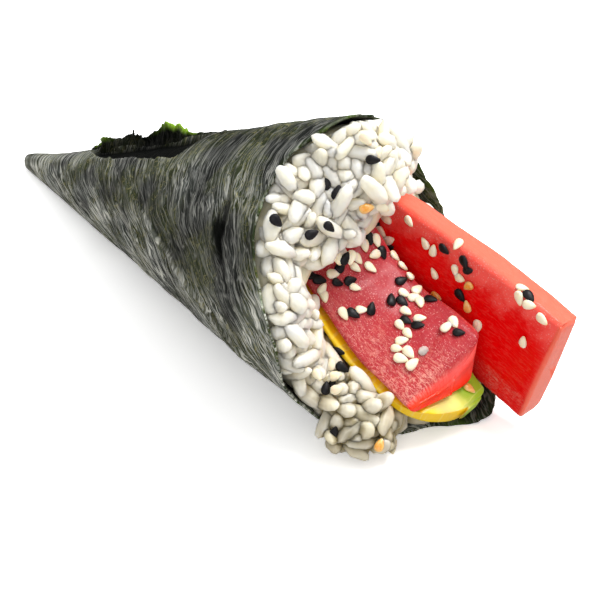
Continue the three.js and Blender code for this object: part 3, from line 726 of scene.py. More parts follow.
# %% A line through a few places
def spline(points, steps=1600):
    """Dense places on a smooth line, and how far along the line each of them is."""
    p = np.array(points, float)
    p = np.vstack([2 * p[0] - p[1], p, 2 * p[-1] - p[-2]])
    gap = np.sqrt(np.linalg.norm(np.diff(p, axis=0), axis=1))
    line = []
    for i in range(1, len(p) - 2):
        before, here, after = gap[i - 1], gap[i], gap[i + 1]
        a, b, c, d = p[i - 1 : i + 3]
        leave = ((b - a) / before - (c - a) / (before + here) + (c - b) / here) * here
        arrive = ((c - b) / here - (d - b) / (here + after) + (d - c) / after) * here
        t = np.linspace(0, 1, steps // (len(p) - 3), endpoint=False)[:, None]
        square, cube = 3 * (c - b) - 2 * leave - arrive, 2 * (b - c) + leave + arrive
        line.append(b + leave * t + square * t**2 + cube * t**3)
    line = np.vstack([*line, p[-2:-1]])
    return line, np.append(0, np.cumsum(np.linalg.norm(np.diff(line, axis=0), axis=1)))


def frames_at(spine, shares):
    """Origin, forward, side and up at shares of a spine's length, and its length."""
    line, run = spline(spine["points"])
    at = np.asarray(shares) * run[-1]
    on_line = lambda at: np.stack([np.interp(at, run, line[:, k]) for k in range(3)], -1)
    origin, ahead = on_line(at), on_line(at + 0.4) - on_line(at - 0.4)
    forward = ahead / np.linalg.norm(ahead, axis=-1, keepdims=True)
    side = np.cross([0, 0, 1], forward)
    side /= np.linalg.norm(side, axis=-1, keepdims=True)
    turn = math.radians(spine["twist"]) * (1 - step(shares, 0.5, 0.85))[..., None]
    side = side * np.cos(turn) + np.cross(forward, side) * np.sin(turn)
    return origin, forward, side, np.cross(forward, side), run[-1]


# %% A section with rounded corners
PER_CORNER, PER_SIDE = 7, 14


def section(corners, radii, grow=0.0):
    """Points round the section, with the share of each along every side, and its depth under that side."""
    corners = np.array(corners, float)
    count = len(corners)
    arcs = []
    for i in range(count):
        into = corners[i] - corners[i - 1]
        out = corners[(i + 1) % count] - corners[i]
        into, out = into / np.linalg.norm(into), out / np.linalg.norm(out)
        turn = math.atan2(into[0] * out[1] - into[1] * out[0], into @ out)
        normal = np.array([into[1], -into[0]])
        centre = corners[i] - into * radii[i] * math.tan(turn / 2) - normal * radii[i]
        a = np.linspace(0, turn, PER_CORNER)[:, None]
        spokes = np.cos(a) * normal + np.sin(a) * np.array([-normal[1], normal[0]])
        arcs.append(centre + spokes * (radii[i] + grow))
    points = []
    for i in range(count):
        start, end = arcs[i][-1], arcs[(i + 1) % count][0]
        between = np.linspace(start, end, PER_SIDE + 2)[1:-1]
        points += [*arcs[i], *between]
    points = np.array(points)
    share, depth = np.zeros((2, count, len(points)))
    for i in range(count):
        edge = corners[(i + 1) % count] - corners[i]
        share[i] = (points - corners[i]) @ edge / (edge @ edge)
        depth[i] = (points - corners[i]) @ np.array([-edge[1], edge[0]]) / np.linalg.norm(edge)
    return points, np.stack([share, depth])


def span_at(outline, x):
    """The lowest and highest point of a closed outline at x."""
    low, high = np.full(x.shape, np.inf), np.full(x.shape, -np.inf)
    for (x0, y0), (x1, y1) in zip(outline, np.roll(outline, -1, axis=0)):
        if abs(x1 - x0) < 1e-9:
            continue
        t = (x - x0) / (x1 - x0)
        inside = (t >= -1e-6) & (t <= 1 + 1e-6)
        y = y0 + t * (y1 - y0)
        low = np.where(inside, np.minimum(low, y), low)
        high = np.where(inside, np.maximum(high, y), high)
    return low, high


# %% A slab along its line
SLANT_OVER = 9  # the stretch before the free end over which a slanting cut sets in
END_STEPS = ((0.985, 0.25), (0.95, 0.42), (0.88, 0.5), (0.7, 0.5), (0.5, 0.5), (0.3, 0.5), (0.12, 0.5))


def loft(piece, count=110, grow=0.0):
    """Rings of a slab from inside the roll to its free end, and how far along the line each of them lies.

    Also, for each point of the outline, its share along every side and its depth under it, and for each
    vertex its place in the section.
    """
    outline, (share, depth) = section(piece["corners"], piece["radii"], grow)
    near, far = outline[:, 0].min() + 0.02, outline[:, 0].max() - 0.02
    length = frames_at(piece["spine"], [0])[-1]
    start, end = piece["span"]
    cut, brow, slant = np.array(piece["cut"], float), piece["brow"], piece["slant"]
    last = max(cut.max(), brow, 0.6)
    slowing = 1 - np.sin(np.linspace(0.08, 1, 18) * math.pi / 2)  # the rings close up towards the end
    shares = np.append(np.linspace(start, end - last / length, count), end - last / length * slowing)
    rings, run, places = [], [], []
    middle = outline.mean(0)
    inner = np.clip(outline[:, 0], near, far)
    low, high = span_at(outline, inner)
    height = np.clip((outline[:, 1] - low) / np.maximum(high - low, 1e-6), 0, 1)

    def sunk(at, reach):
        beyond = np.clip(1 - (end - at) * length / max(reach, 1e-6), 0, 1)
        return reach * (1 - math.sqrt(1 - beyond**2))

    def ring(at, shrink=1.0, ahead=0.0):
        over = sunk(at, brow)
        back = cut / max(cut.max(), 1e-6) * sunk(at, cut.max())
        x = np.clip(outline[:, 0], near + back[0], far - back[1] - over)
        lowest, highest = span_at(outline, np.clip(x, near, far))
        y = np.where(x != inner, lowest + height * (highest - lowest), outline[:, 1])
        y = np.minimum(y, np.maximum(highest - over * step(x, 1, 8), lowest + 0.3))
        flat = middle + (np.stack([x, y], -1) - middle) * shrink
        origin, forward, side, up, _ = frames_at(piece["spine"], np.array(at))
        below = np.maximum(highest - flat[:, 1], 0)[:, None]
        further = slant * below * (1 - step((end - at) * length, 0, SLANT_OVER))
        rings.append(origin + side * flat[:, :1] + up * flat[:, 1:] + forward * (ahead + further))
        run.append(at * length + ahead)
        places.append(flat)

    for shrink, ahead in reversed(END_STEPS):
        ring(start, shrink, -ahead - grow)
    for at in shares:
        ring(at)
    for shrink, ahead in END_STEPS:
        ring(end, shrink, ahead + grow)
    rings = np.array(rings)
    close = lambda grid: np.concatenate([grid, grid[..., :1]], -1)
    places = np.moveaxis(places, -1, 0)
    return np.concatenate([rings, rings[:, :1]], 1), np.array(run), close(share), close(depth), close(places)


FRONT_SPINE = {
    "points": (
        (94, -8, 22.5), (106, -9, 28), (118, -10, 31.5), (126, -10.4, 29.6), (132.5, -10.2, 24.6),
        (140, -9.7, 18.2), (147.5, -9.5, 15.2), (155, -9.8, 13), (160.5, -9.6, 11),
    ),
    "twist": -18,
}
BACK_SPINE = {
    "points": ((106, 13, 36), (118, 14.3, 38), (134.5, 14.6, 36.6), (154, 14, 34), (171.3, 13.2, 30.6)),
    "twist": 0,
}
TUNA_FRONT = {
    "spine": FRONT_SPINE,
    "span": (0, 0.92),
    "corners": ((1.4, -1), (20, -1.4), (21, 10), (0, 0)),
    "radii": (0.5, 2, 2.2, 0.5),
    "cut": (0, 7),
    "brow": 2.4,  # how far the free end's upper edge is rounded off
    "slant": 0.25,  # how much further the end reaches for each millimetre below its top
}
TUNA_BACK = {
    "spine": BACK_SPINE,
    "span": (0, 1),
    "corners": ((3.6, -26), (6.4, -0.4), (0, 0), (-2.2, -26)),
    "radii": (2, 1.8, 1.2, 1.2),
    "cut": (0, 0.8),
    "brow": 0.8,
    "slant": 0,
}
AVOCADO = {
    "spine": FRONT_SPINE,
    "span": (0.1, 1),
    "corners": ((1.5, -3.8), (8.5, -5.4), (14, -6.6), (20, -5.6), (20.6, -2.2), (-2.4, -1.6)),
    "radii": (0.8, 3, 3, 1.5, 1, 0.6),
    "cut": (14, 1.5),
    "brow": 1.0,
    "slant": 0,
}
# Room over the slabs that the rice leaves free.
FRONT_ROOM = {
    **TUNA_FRONT,
    "span": (0.37, 0.95),
    "corners": ((1.4, -1), (20, -1.4), (22, 20), (-5, 9)),
    "radii": (0.5, 2, 4, 4),
}
BACK_ROOM = {
    **TUNA_BACK,
    "span": (0.22, 1),
    "corners": ((3.6, -26), (6.8, 5), (-8, 6), (-8, -26)),
    "radii": (2, 3, 4, 2),
}


def side_length(piece, side):
    """How long a side of a slab's section is."""
    corners = np.array(piece["corners"], float)
    return np.linalg.norm(corners[(side + 1) % len(corners)] - corners[side])


def move_out(rings, amount):
    """Moves each vertex of a skin along its normal."""
    across = np.roll(rings[:, :-1], -1, 1) - np.roll(rings[:, :-1], 1, 1)
    down = np.gradient(rings[:, :-1], axis=0)
    normal = np.cross(across, down)
    normal /= np.maximum(np.linalg.norm(normal, axis=-1, keepdims=True), 1e-9)
    middle = rings[:, :-1].mean(1, keepdims=True)
    outwards = np.sign(((rings[:, :-1] - middle) * normal).sum(-1).mean())
    moved = rings[:, :-1] + normal * outwards * amount[:, :-1, None]
    return np.concatenate([moved, moved[:, :1]], 1)


def slab(name, rings, run, material, values):
    """A slab's object, with its values and a map in decimetres along and round it."""
    points, faces = skin(rings)
    flat = {}
    for key, grid in values.items():
        ends = [grid[0, :-1].mean(), grid[-1, :-1].mean()]
        flat[key] = np.append(grid[:, :-1].ravel(), ends)
    made = piece_from(name, in_frame(points), turned_out(points, faces), material, flat)
    around = np.append(0, np.cumsum(np.linalg.norm(np.diff(rings[len(rings) // 2], axis=0), axis=1)))
    along = np.broadcast_to(run[:, None], rings.shape[:2])
    give_uv(made, "cut", np.stack([along, np.broadcast_to(around, rings.shape[:2])], -1) / 100)
    return report(made)


# %% [markdown]
# ## Tuna
# Raw tuna is wet, dense and nearly clear red: light goes in, loses everything but red, and comes out again a
# few millimetres away. That is subsurface scattering with a long red radius. Where the knife has dried or
# bruised the face it turns dusty pink, and this pink also stands for a painted sheen on the upper faces, with
# painted pinprick highlights on it. Along the edges a coral glow is painted, partly the flesh's own colour
# and partly light through the thin flesh. Each slab carries values that say how near a point is to its edges,
# and one finish reads them.

# %% The tuna's finish
# The pale speckles on the tuna are painted highlights.
PAINTED_GLINT, TORN_FLESH, FIBRE = (0.9, 0.50, 0.48), (0.88, 0.42, 0.34), (0.95, 0.50, 0.38)


def make_tuna(name, deep, dust_and_sheen_colour, coral, ember, gloss):
    tuna = Finish(
        name,
        Subsurface_Weight=0.25,
        Subsurface_Radius=(1.0, 0.16, 0.12),
        Subsurface_Scale=0.0015,
        Specular_IOR_Level=gloss,
        Coat_Roughness=0.12,
    )
    mix, plus, times, use = tuna.mix, tuna.plus, tuna.times, tuna.use
    soft = tuna.in_object()
    dust_and_sheen, edge, frayed, low = (tuna.measure(value) for value in ("dust_and_sheen", "edge", "frayed", "low"))
    cloud = use(BLOTCHES, Vector=soft, Scale=210.0, Detail=5.0, From=0.35, To=0.65)
    dust_and_sheen_mask = tuna.ramp(plus(dust_and_sheen, tuna.swing(cloud, 0.4)), 0.15, 0.85)
    painted_glints = use(SPECKLES, Vector=soft, Scale=2900.0, Size=0.45)
    fibre = use(STRANDS, Vector=tuna.on_map("cut"), Across=26.0, Along=150.0, Width=0.05, Wander=0.02)
    marks = use(BLOTCHES, Vector=soft, Scale=1200.0, Detail=6.0, From=0.48, To=0.64, Warp=1.2)
    # Dusty pink, partly dust and partly painted sheen on the upper faces.
    base = mix(dust_and_sheen_mask, deep, dust_and_sheen_colour)
    # Painted glow: coral along the edges, partly the flesh's own colour and partly light through the thin
    # flesh.
    base = mix(edge, base, coral)
    base = mix(low, base, ember)
    # Painted highlights: pinprick glints on the dusty pink.
    base = mix(times(painted_glints, dust_and_sheen_mask, 0.45), base, PAINTED_GLINT)
    base = mix(times(frayed, 0.15), base, coral)
    base = mix(times(frayed, marks, 0.5), base, TORN_FLESH)
    base = mix(times(fibre, plus(times(frayed, 0.35), 0.05)), base, FIBRE)
    height = plus(times(marks, plus(frayed, 0.1)), times(painted_glints, 0.3), times(cloud, 0.5))
    return tuna.done(
        Base_Color=base,
        Roughness=tuna.scaled(plus(dust_and_sheen_mask, frayed), 0.25, 0.5),
        Normal=tuna.bump(height, 0.35, 0.0004),
        Coat_Weight=plus(times(dust_and_sheen_mask, 0.12), times(edge, 0.2)),
    )


FRONT_FLESH = make_tuna(
    "tuna_dusty",
    deep=(0.44, 0.006, 0.014),
    dust_and_sheen_colour=(0.40, 0.022, 0.032),
    coral=(0.95, 0.11, 0.10),
    ember=(1.0, 0.03, 0.0),
    gloss=0.2,
)
BACK_FLESH = make_tuna(
    "tuna_deep",
    deep=(0.80, 0.0, 0.001),
    dust_and_sheen_colour=(0.95, 0.10, 0.085),
    coral=(0.88, 0.16, 0.10),
    ember=(0.80, 0.006, 0.006),
    gloss=0.08,
)

# %% The front slab
def make_tuna_front():
    rings, run, share, depth, (_, height) = loft(TUNA_FRONT)
    along = run[:, None]
    across = share[2][None, :]  # 1 at the sharp left edge of the top face, 0 at the right
    wide = side_length(TUNA_FRONT, 2) * across
    end = run[-1] - along
    top = bell(np.maximum(depth[2], 0), 0.9)[None, :] * step(end, 0.5, 2.2)
    patchy = ripple(along, wide, 5, 34)
    worn = 0.7 * step(across, 0.5, 0.85) * (0.3 + 0.7 * step(along, 36, 58))
    worn = worn + step(10 - end, 0, 8) * step(across, 0.15, 0.6)
    frayed = np.clip(top * worn * (0.75 + 0.6 * patchy), 0, 1)
    wavy = 0.35 * ripple(along, wide, 9, 30) + 0.16 * ripple(along, wide, 3.2, 31)
    rough = 0.24 * ripple(along, wide, 1.3, 32) + 0.12 * ripple(along, wide, 0.7, 33)
    crease = -0.7 * bell(end - 7 + 0.25 * (wide - 13), 0.7)
    crease = crease * step(across, 0.2, 0.4) * step(0.95 - across, 0, 0.2)
    crown = 0.7 * (1 - (2 * across - 1) ** 2)
    body = step(run, run[0] + 1.5, run[0] + 4)[:, None] * step(end, 0.4, 2.0)
    moved = move_out(rings, (wavy * top + rough * frayed + (crown + crease) * top) * body)
    values = {
        # The top face is dusty pink: partly dust, partly painted sheen.
        "dust_and_sheen": top * (0.85 - 0.35 * bell(along - 0.42 * run[-1], 8) + 0.2 * ripple(along, wide, 7, 35)),
        # Coral on all but the top face: partly the flesh's own colour, partly a painted glow.
        "edge": np.clip(1 - top, 0, 1),
        "frayed": frayed,
        "low": (1 - top) * step(5 - height, 0, 5) * step(4 - end, 0, 3),
    }
    return slab("tuna_front_slab", moved, run, FRONT_FLESH, values)


tuna_front = make_tuna_front()

# %% The back slab
FAT_LINES = (16.0, 19.7, 21.0)  # millimetres below the ridge


def make_tuna_back():
    rings, run, share, depth, _ = loft(TUNA_BACK)
    along = run[:, None]
    down = side_length(TUNA_BACK, 2) * share[2][None, :]  # millimetres below the ridge on the near face
    end = run[-1] - along
    near = bell(np.maximum(depth[2], 0), 0.8)[None, :] * step(end, 0.3, 1.2)
    faces = near + bell(np.maximum(depth[0], 0), 0.8)[None, :] * step(end, 0.3, 1.2)
    wavy = 0.3 * ripple(along, down, 10, 40) + 0.08 * ripple(along, down, 3, 41)
    hem = step(down, 20.4, 23.8) * near
    grooves = sum(
        bell(down - depth_at - 0.6 * ripple(along, 0, 7, 42 + i) - 0.03 * along, 0.35)
        for i, depth_at in enumerate(FAT_LINES)
    )
    grooves = np.clip(grooves, 0, 1) * near * step(along, 30, 45)
    rough = 0.16 * ripple(along, down, 0.8, 46)
    body = step(run, run[0] + 1.5, run[0] + 4)[:, None] * step(end, 0.3, 1.5)
    moved = move_out(rings, (wavy - 0.3 * grooves + rough * hem) * body)
    # Painted sheen: the dusty pink is palest at the ridge and fades down the near face.
    dust_and_sheen = faces * np.clip(1.0 - 0.118 * down + 0.4 * ripple(along, down, 8, 47), 0, 1)
    frayed = np.clip(hem * (0.1 + 0.6 * ripple(along, down, 3, 48)) + 0.5 * grooves, 0, 1)
    bevel = 0.3 * step(1.6 - end, 0, 1.2)
    # Painted glow: coral on the ridge and other narrow sides, the band under the ridge and the bevelled end.
    edge = np.clip(np.maximum(1 - faces + 0.4 * bell(down, 1.0) * near, bevel), 0, 1)
    low = near * step(down, 19.9, 22.1) * (1 - bevel)
    values = {"dust_and_sheen": dust_and_sheen, "edge": edge, "frayed": frayed, "low": low}
    return slab("tuna_back_slab", moved, run, BACK_FLESH, values)


tuna_back = make_tuna_back()

# %% [markdown]
# ## Avocado
# A slice of ripe avocado goes from buttery yellow near the stone to clear green under the skin, without a
# line between them. The slice's own map says how far across it a point lies, and that is the whole colour,
# with soft blotches and a waxy sheen.

# %% The avocado slice
BUTTER, CREAM_YELLOW = (0.93, 0.60, 0.008), (0.72, 0.62, 0.18)
PALE_GREEN, SKIN_GREEN, VEIN = (0.80, 0.82, 0.20), (0.36, 0.60, 0.03), (0.96, 0.93, 0.45)


def make_avocado_flesh():
    flesh = Finish(
        "avocado_flesh",
        Subsurface_Weight=0.3,
        Subsurface_Radius=(0.8, 0.7, 0.15),
        Subsurface_Scale=0.002,
        Specular_IOR_Level=0.3,
        Coat_Roughness=0.3,
    )
    cloud = flesh.use(BLOTCHES, Vector=flesh.in_object(), Scale=240.0, Detail=3.0, From=0.3, To=0.7)
    veins = flesh.use(STRANDS, Vector=flesh.on_map("cut"), Across=30.0, Along=5.0, Width=0.04, Wander=0.02)
    across = flesh.plus(flesh.measure("green"), flesh.swing(cloud, 0.12))
    base = flesh.mix(flesh.ramp(across, 0.06, 0.36), BUTTER, CREAM_YELLOW)
    base = flesh.mix(flesh.ramp(across, 0.34, 0.6), base, PALE_GREEN)
    base = flesh.mix(flesh.ramp(across, 0.6, 0.92), base, SKIN_GREEN)
    base = flesh.mix(flesh.times(veins, 0.18), base, VEIN)
    return flesh.done(
        Base_Color=base,
        Roughness=flesh.scaled(cloud, 0.36, 0.5),
        Normal=flesh.bump(flesh.plus(cloud, veins), 0.2, 0.0003),
        Coat_Weight=flesh.scaled(cloud, 0.25, 0.1),
    )


def make_avocado():
    rings, run, _, depth, _ = loft(AVOCADO)
    outline, _ = section(AVOCADO["corners"], AVOCADO["radii"])
    side = np.append(outline[:, 0], outline[0, 0])[None, :]
    along = run[:, None]
    end = run[-1] - along
    wavy = 0.3 * ripple(along, side, 6, 50) + 0.1 * ripple(along, side, 2, 51)
    groove = -0.5 * bell(side - 14.5, 1.2) * step(16 - end, 0, 6)
    body = step(run, run[0] + 1.5, run[0] + 4)[:, None] * step(end, 0.3, 1.5)
    moved = move_out(rings, (wavy + groove) * body)
    rind = bell(np.maximum(np.minimum(depth[1], depth[2]), 0), 2.0)[None, :] * step(side, 6, 14)
    green = step(side, 1, 20) * (0.3 + 0.7 * step(22 - end, 0, 14)) + 0.3 * rind
    return slab("avocado_flesh", moved, run, make_avocado_flesh(), {"green": green})


avocado = make_avocado()

# %% [markdown]
# ## The heap of rice
# Sushi rice is hundreds of plump grains that stick together without losing their shape. A simulation of that
# many soft grains would take minutes and still need care where they meet the fish. Here the heap is a core
# with separate grains packed over it: each is laid on the core, turned a few ways, and lifted just until its
# middle line clears its neighbours, the slabs, the sheet and the table. The lines may lie closer together
# than a grain is thick, so grains press into each other as sticky ones do. Where gaps stay in sight, more
# grains are dropped in. Geometry Nodes then put a grain on each place.

# %% The core under the grains
GAP = 0.3
BEHIND_RIM = 3  # the rice starts this far behind the sheet's edge
CORE_RINGS, FACE_RINGS, CORE_ROUND = 24, 30, 97
HEAP_TILT = math.radians(30)  # the open face of the rice leans back
HOLLOW_Y, HOLLOW_Z, HOLLOW_DEEP = 0.0, 28.5, 15  # where the slabs come out
SPILL_AT, SPILL_SIZE = np.array([143, -11, 7.5]), np.array([8, 9, 6.5])
BULGE_OUT = np.array([math.cos(HEAP_TILT), 0, math.sin(HEAP_TILT)])


def rice_bulge(points):
    """How far the face of the rice stands out: a mound on top, and a hollow round the slabs."""
    y, z = points[..., 1], points[..., 2]
    mound = 6 * bell(np.hypot((y - 2) / 1.5, z - 46), 10)
    below = np.where(z < HOLLOW_Z, 1.6, 0.75)
    away = np.hypot((y - HOLLOW_Y) / 1.9, (z - HOLLOW_Z) / below)
    return 2.5 + mound - HOLLOW_DEEP * (1 - step(away, 5, 13))


def rice_core():
    """The filling of the cone, and then rings that close it from the rim to the middle of its face."""
    angle = np.linspace(-180, 180, CORE_ROUND)
    rim = rim_at(angle) - BEHIND_RIM
    deeper = (NORI_THICK + GAP + 0.15) / math.cos(CONE_HALF_ANGLE)
    rings = []
    for share in np.linspace(0, 1, CORE_RINGS):
        along = CAVITY_FROM + 3 + (rim - CAVITY_FROM - 3) * share
        sunk = 1.6 * step(along, 36, 44) * step(98 - along, 0, 6) * bell(angle - 4, 34)
        rings.append(on_cone(along, angle, along * SLOPE - deeper - sunk))
    last = rings[-1]
    heart = last[:-1].mean(0)
    for share in np.linspace(0.03, 0.96, FACE_RINGS):
        ring = last + (heart - last) * share
        rounding = math.sqrt(1 - (1 - min(1, share / 0.24)) ** 2)
        rings.append(ring + BULGE_OUT * (rice_bulge(ring) * rounding)[:, None])
    points, faces = skin(np.array(rings))
    return points, turned_out(points, faces)


def cut_by(body, others, operation):
    """Joins other closed meshes to a body, or cuts them away, and leaves a plain mesh."""
    for other in others:
        knife = body.modifiers.new("knife", "BOOLEAN")
        knife.solver = "MANIFOLD"
        knife.operation = operation
        knife.object = other
    made = plain_copy(body)
    for other in others:
        bpy.data.objects.remove(other)
    return made


def plain_copy(body):
    """The evaluated mesh of an object as a new plain object under the same name."""
    name = body.name
    graph = bpy.context.evaluated_depsgraph_get()
    evaluated = body.evaluated_get(graph)
    mesh = bpy.data.meshes.new_from_object(evaluated, preserve_all_data_layers=True, depsgraph=graph)
    bpy.data.objects.remove(body)
    mesh.name = name
    made = bpy.data.objects.new(name, mesh)
    bpy.context.scene.collection.objects.link(made)
    return made


def spill():
    """The small heap that has fallen over the near rim."""
    turn, tilt = np.meshgrid(np.linspace(-math.pi, math.pi, 41), np.linspace(-1.5, 1.5, 21))
    ball = np.stack([np.cos(tilt) * np.cos(turn), np.cos(tilt) * np.sin(turn), np.sin(tilt)], -1)
    points, faces = skin(SPILL_AT + ball * SPILL_SIZE)
    return points, turned_out(points, faces)


def bare_body(name, rings):
    points, faces = skin(rings)
    return piece_from(name, in_frame(points), turned_out(points, faces), None)


def table_block():
    x, y, z = np.array([-0.3, 0.3]), np.array([-0.3, 0.3]), np.array([-0.05, 0.0001])
    points = [(a, b, c) for c in z for b in y for a in x]
    faces = [(0, 2, 3, 1), (4, 5, 7, 6), (0, 1, 5, 4), (2, 6, 7, 3), (0, 4, 6, 2), (1, 3, 7, 5)]
    return piece_from("table_block", points, faces, None)


def make_core():
    points, faces = rice_core()
    core = piece_from("rice_core", in_frame(points), faces, None)
    points, faces = spill()
    core = cut_by(core, [piece_from("spill", in_frame(points), faces, None)], "UNION")
    kept_free = (TUNA_FRONT, TUNA_BACK, AVOCADO, FRONT_ROOM, BACK_ROOM)
    knives = [bare_body("knife", loft(piece, 30, GAP)[0]) for piece in kept_free]
    return cut_by(core, [*knives, table_block()], "DIFFERENCE")


core = make_core()
print("rice core:", len(core.data.polygons), "faces")

# %% Where a grain may lie
GRAIN_LONG, GRAIN_WIDE = 8.4, 3.5
SPILL_TOP = 20  # lower than this, grains may lie outside the rim
GRAIN_SPACING = 1.8
GRAIN_TURNS = 7
GRAIN_LIFT = 3.4  # how far a grain may be lifted off the core before it is left out
OPEN_FROM = 3.5  # grains are laid on the core from this far behind the rim,
WALL_FREE = 5  # and deeper down where it is further than this from the sheet
CLEAR = 1.15  # how far a grain's middle line keeps from another piece
APART = 1.25  # how far the middle lines of two grains keep from each other


def tree_of(made):
    graph = bpy.context.evaluated_depsgraph_get()
    return BVHTree.FromObject(made, graph)


rooms = [bare_body("room", loft(piece, 30)[0]) for piece in (FRONT_ROOM, BACK_ROOM)]
FISH = [tree_of(made) for made in (tuna_front, tuna_back, avocado)]
SOLIDS = FISH + [tree_of(room) for room in rooms]
for room in rooms:
    bpy.data.objects.remove(room)


# The fish shows between these points of the picture, so no grain may come in front of it there.
OPEN_TO_VIEW = np.array((
    (392, 196), (395, 212), (375, 217), (369, 223), (371, 238), (365, 240), (351, 247), (349, 258),
    (333, 271), (304, 271), (306, 288), (319, 298), (323, 314), (329, 335), (332, 345), (336, 356),
    (349, 364), (365, 373), (381, 385), (392, 392), (408, 409), (424, 422), (455, 426), (490, 420),
    (600, 420), (600, 196),
))
VIEW_TURN = np.array(camera.rotation_quaternion.to_matrix())
VIEW_FROM = np.array(camera.location)


def in_picture(points):
    """Where places in the frame fall in the picture."""
    seen = (np.asarray(points) - VIEW_FROM) @ VIEW_TURN
    flat = seen[..., :2] / -seen[..., 2:] * CAMERA_LENS / SENSOR
    return (flat * (1, -1) + 0.5) * PICTURE


def inside_outline(spots, outline):
    inside = np.zeros(len(spots), bool)
    for (x0, y0), (x1, y1) in zip(outline, np.roll(outline, -1, axis=0)):
        level = (y0 > spots[:, 1]) != (y1 > spots[:, 1])
        crossing = x0 + (spots[:, 1] - y0) * (x1 - x0) / ((y1 - y0) or 1)
        inside ^= level & (spots[:, 0] < crossing)
    return inside


def out_of_sight(points, thick):
    """Whether a grain round these points stays clear of the lines of sight to the fish."""
    rim = [VIEW_TURN[:, 0] * x + VIEW_TURN[:, 1] * y for x, y in ((0, 0), (1, 0), (-1, 0), (0, 1), (0, -1))]
    places = (in_frame(points)[:, None] + np.array(rim) * thick / 1000).reshape(-1, 3)
    for place in places[inside_outline(in_picture(places), OPEN_TO_VIEW)]:
        look = Vector(place) - camera.location
        if not any(solid.ray_cast(camera.location, look.normalized(), look.length)[0] for solid in FISH):
            return False
    return True


def outside_solids(points, clear, solids):
    """Whether these points keep clear of other pieces, each given as a tree of its faces."""
    for place in in_frame(points):
        for solid in solids:
            spot, normal, _, distance = solid.find_nearest(Vector(place), 0.012)
            if spot is None:
                continue
            inside = (Vector(place) - spot).dot(normal) < 0
            if inside or distance < clear / 1000:
                return False
    return True


def clear_of_sheet(points, clear):
    """Whether these points lie inside the sheet, or beyond its rim, and above the table."""
    along, angle, out = cone_place(points)
    wall = along * SLOPE - NORI_THICK / math.cos(CONE_HALF_ANGLE)
    beyond = along - rim_at(angle)
    spilt = (beyond > clear) & ((out < wall + 1.5) | (points[:, 2] < SPILL_TOP))
    held = (out < wall - 0.75 * clear) | spilt
    return bool(np.all(held) and np.all(points[:, 2] > TABLE + 0.9 * clear))


def scatter(made, spacing, seed, wanted, tries=26000):
    """Places spread over a mesh's faces, none closer than `spacing` to another, with their normals."""
    dice = np.random.default_rng(seed)
    mesh = made.data
    mesh.calc_loop_triangles()
    corners = np.array([[mesh.vertices[v].co for v in t.vertices] for t in mesh.loop_triangles]) * 1000 - APEX
    cross = np.cross(corners[:, 1] - corners[:, 0], corners[:, 2] - corners[:, 0])
    area = np.linalg.norm(cross, axis=1) * wanted(corners.mean(1))
    picked = dice.choice(len(area), tries, p=area / area.sum())
    u, v = dice.random(tries), dice.random(tries)
    u, v = np.where(u + v > 1, 1 - u, u), np.where(u + v > 1, 1 - v, v)
    first, second, third = np.moveaxis(corners[picked], 1, 0)
    places = first + (second - first) * u[:, None] + (third - first) * v[:, None]
    normals = cross[picked] / np.linalg.norm(cross[picked], axis=1)[:, None]
    kept = np.empty((0, 3))
    chosen = []
    for i, place in enumerate(places):
        if len(kept) and np.min(np.linalg.norm(kept - place, axis=1)) < spacing:
            continue
        kept = np.vstack([kept, place])
        chosen.append(i)
    return places[chosen], normals[chosen]


def in_mouth(points):
    """The open face of the heap, with the hollow round the slabs, and not the wall against the sheet."""
    along, angle, out = cone_place(points)
    off_wall = (out < along * SLOPE - WALL_FREE) & (along > rim_at(angle) - HOLLOW_DEEP - 6)
    return ((along > rim_at(angle) - OPEN_FROM) | off_wall) & (points[:, 2] > TABLE + 0.6)


# %% Packing the grains
MIDDLE_LINE = np.linspace(-0.5, 0.5, 5)[:, None]
LEAN = 0.55  # how much the grains differ from lying flat
SMALL_SHARE = 0.2  # broken and short grains
LIFT_STEP = 0.3


def pack_grains(places, normals, solids, first=(), highest=GRAIN_LIFT, seed=12):
    """Each grain's lift, its middle line, its forward and upward direction and its size."""
    dice = np.random.default_rng(seed)
    laid = list(first)
    lines = np.vstack([np.empty((0, 3)), *(line for _, line, *_ in laid)])
    for place, normal in zip(places, normals):
        best = None
        for _ in range(GRAIN_TURNS):
            tilt = normal + dice.normal(0, LEAN, 3)
            tilt /= np.linalg.norm(tilt)
            forward = np.cross(tilt, dice.normal(0, 1, 3))
            forward /= np.linalg.norm(forward)
            size = dice.normal(1, 0.13) if dice.random() > SMALL_SHARE else dice.uniform(0.5, 0.75)
            long = GRAIN_LONG * np.clip(size, 0.45, 1.25)
            for lift in np.arange(0.5, highest, LIFT_STEP):
                if best and lift >= best[0]:
                    break
                line = place + normal * lift + forward * MIDDLE_LINE * (long - GRAIN_WIDE)
                if apart(line, lines, APART) and fits(line, solids):
                    up = np.cross(forward, np.cross(tilt, forward))
                    best = (lift, line, forward, up, long / GRAIN_LONG)
                    break
        if best:
            lines = np.vstack([lines, best[1]])
            laid.append(best)
    return laid


def apart(line, lines, gap):
    """Whether a grain's middle line keeps this far from all others."""
    close = lines[np.abs(lines - line[2]).max(1) < 12]
    return not len(close) or np.min(np.linalg.norm(close[:, None] - line[None], axis=2)) >= gap


def fits(line, solids):
    return clear_of_sheet(line, CLEAR) and outside_solids(line, CLEAR, solids) and out_of_sight(line, CLEAR)


grain_places, grain_normals = scatter(core, GRAIN_SPACING, 5, in_mouth)
packed = pack_grains(grain_places, grain_normals, SOLIDS)
print(f"rice: {len(packed)} grains packed on {len(grain_places)} places")

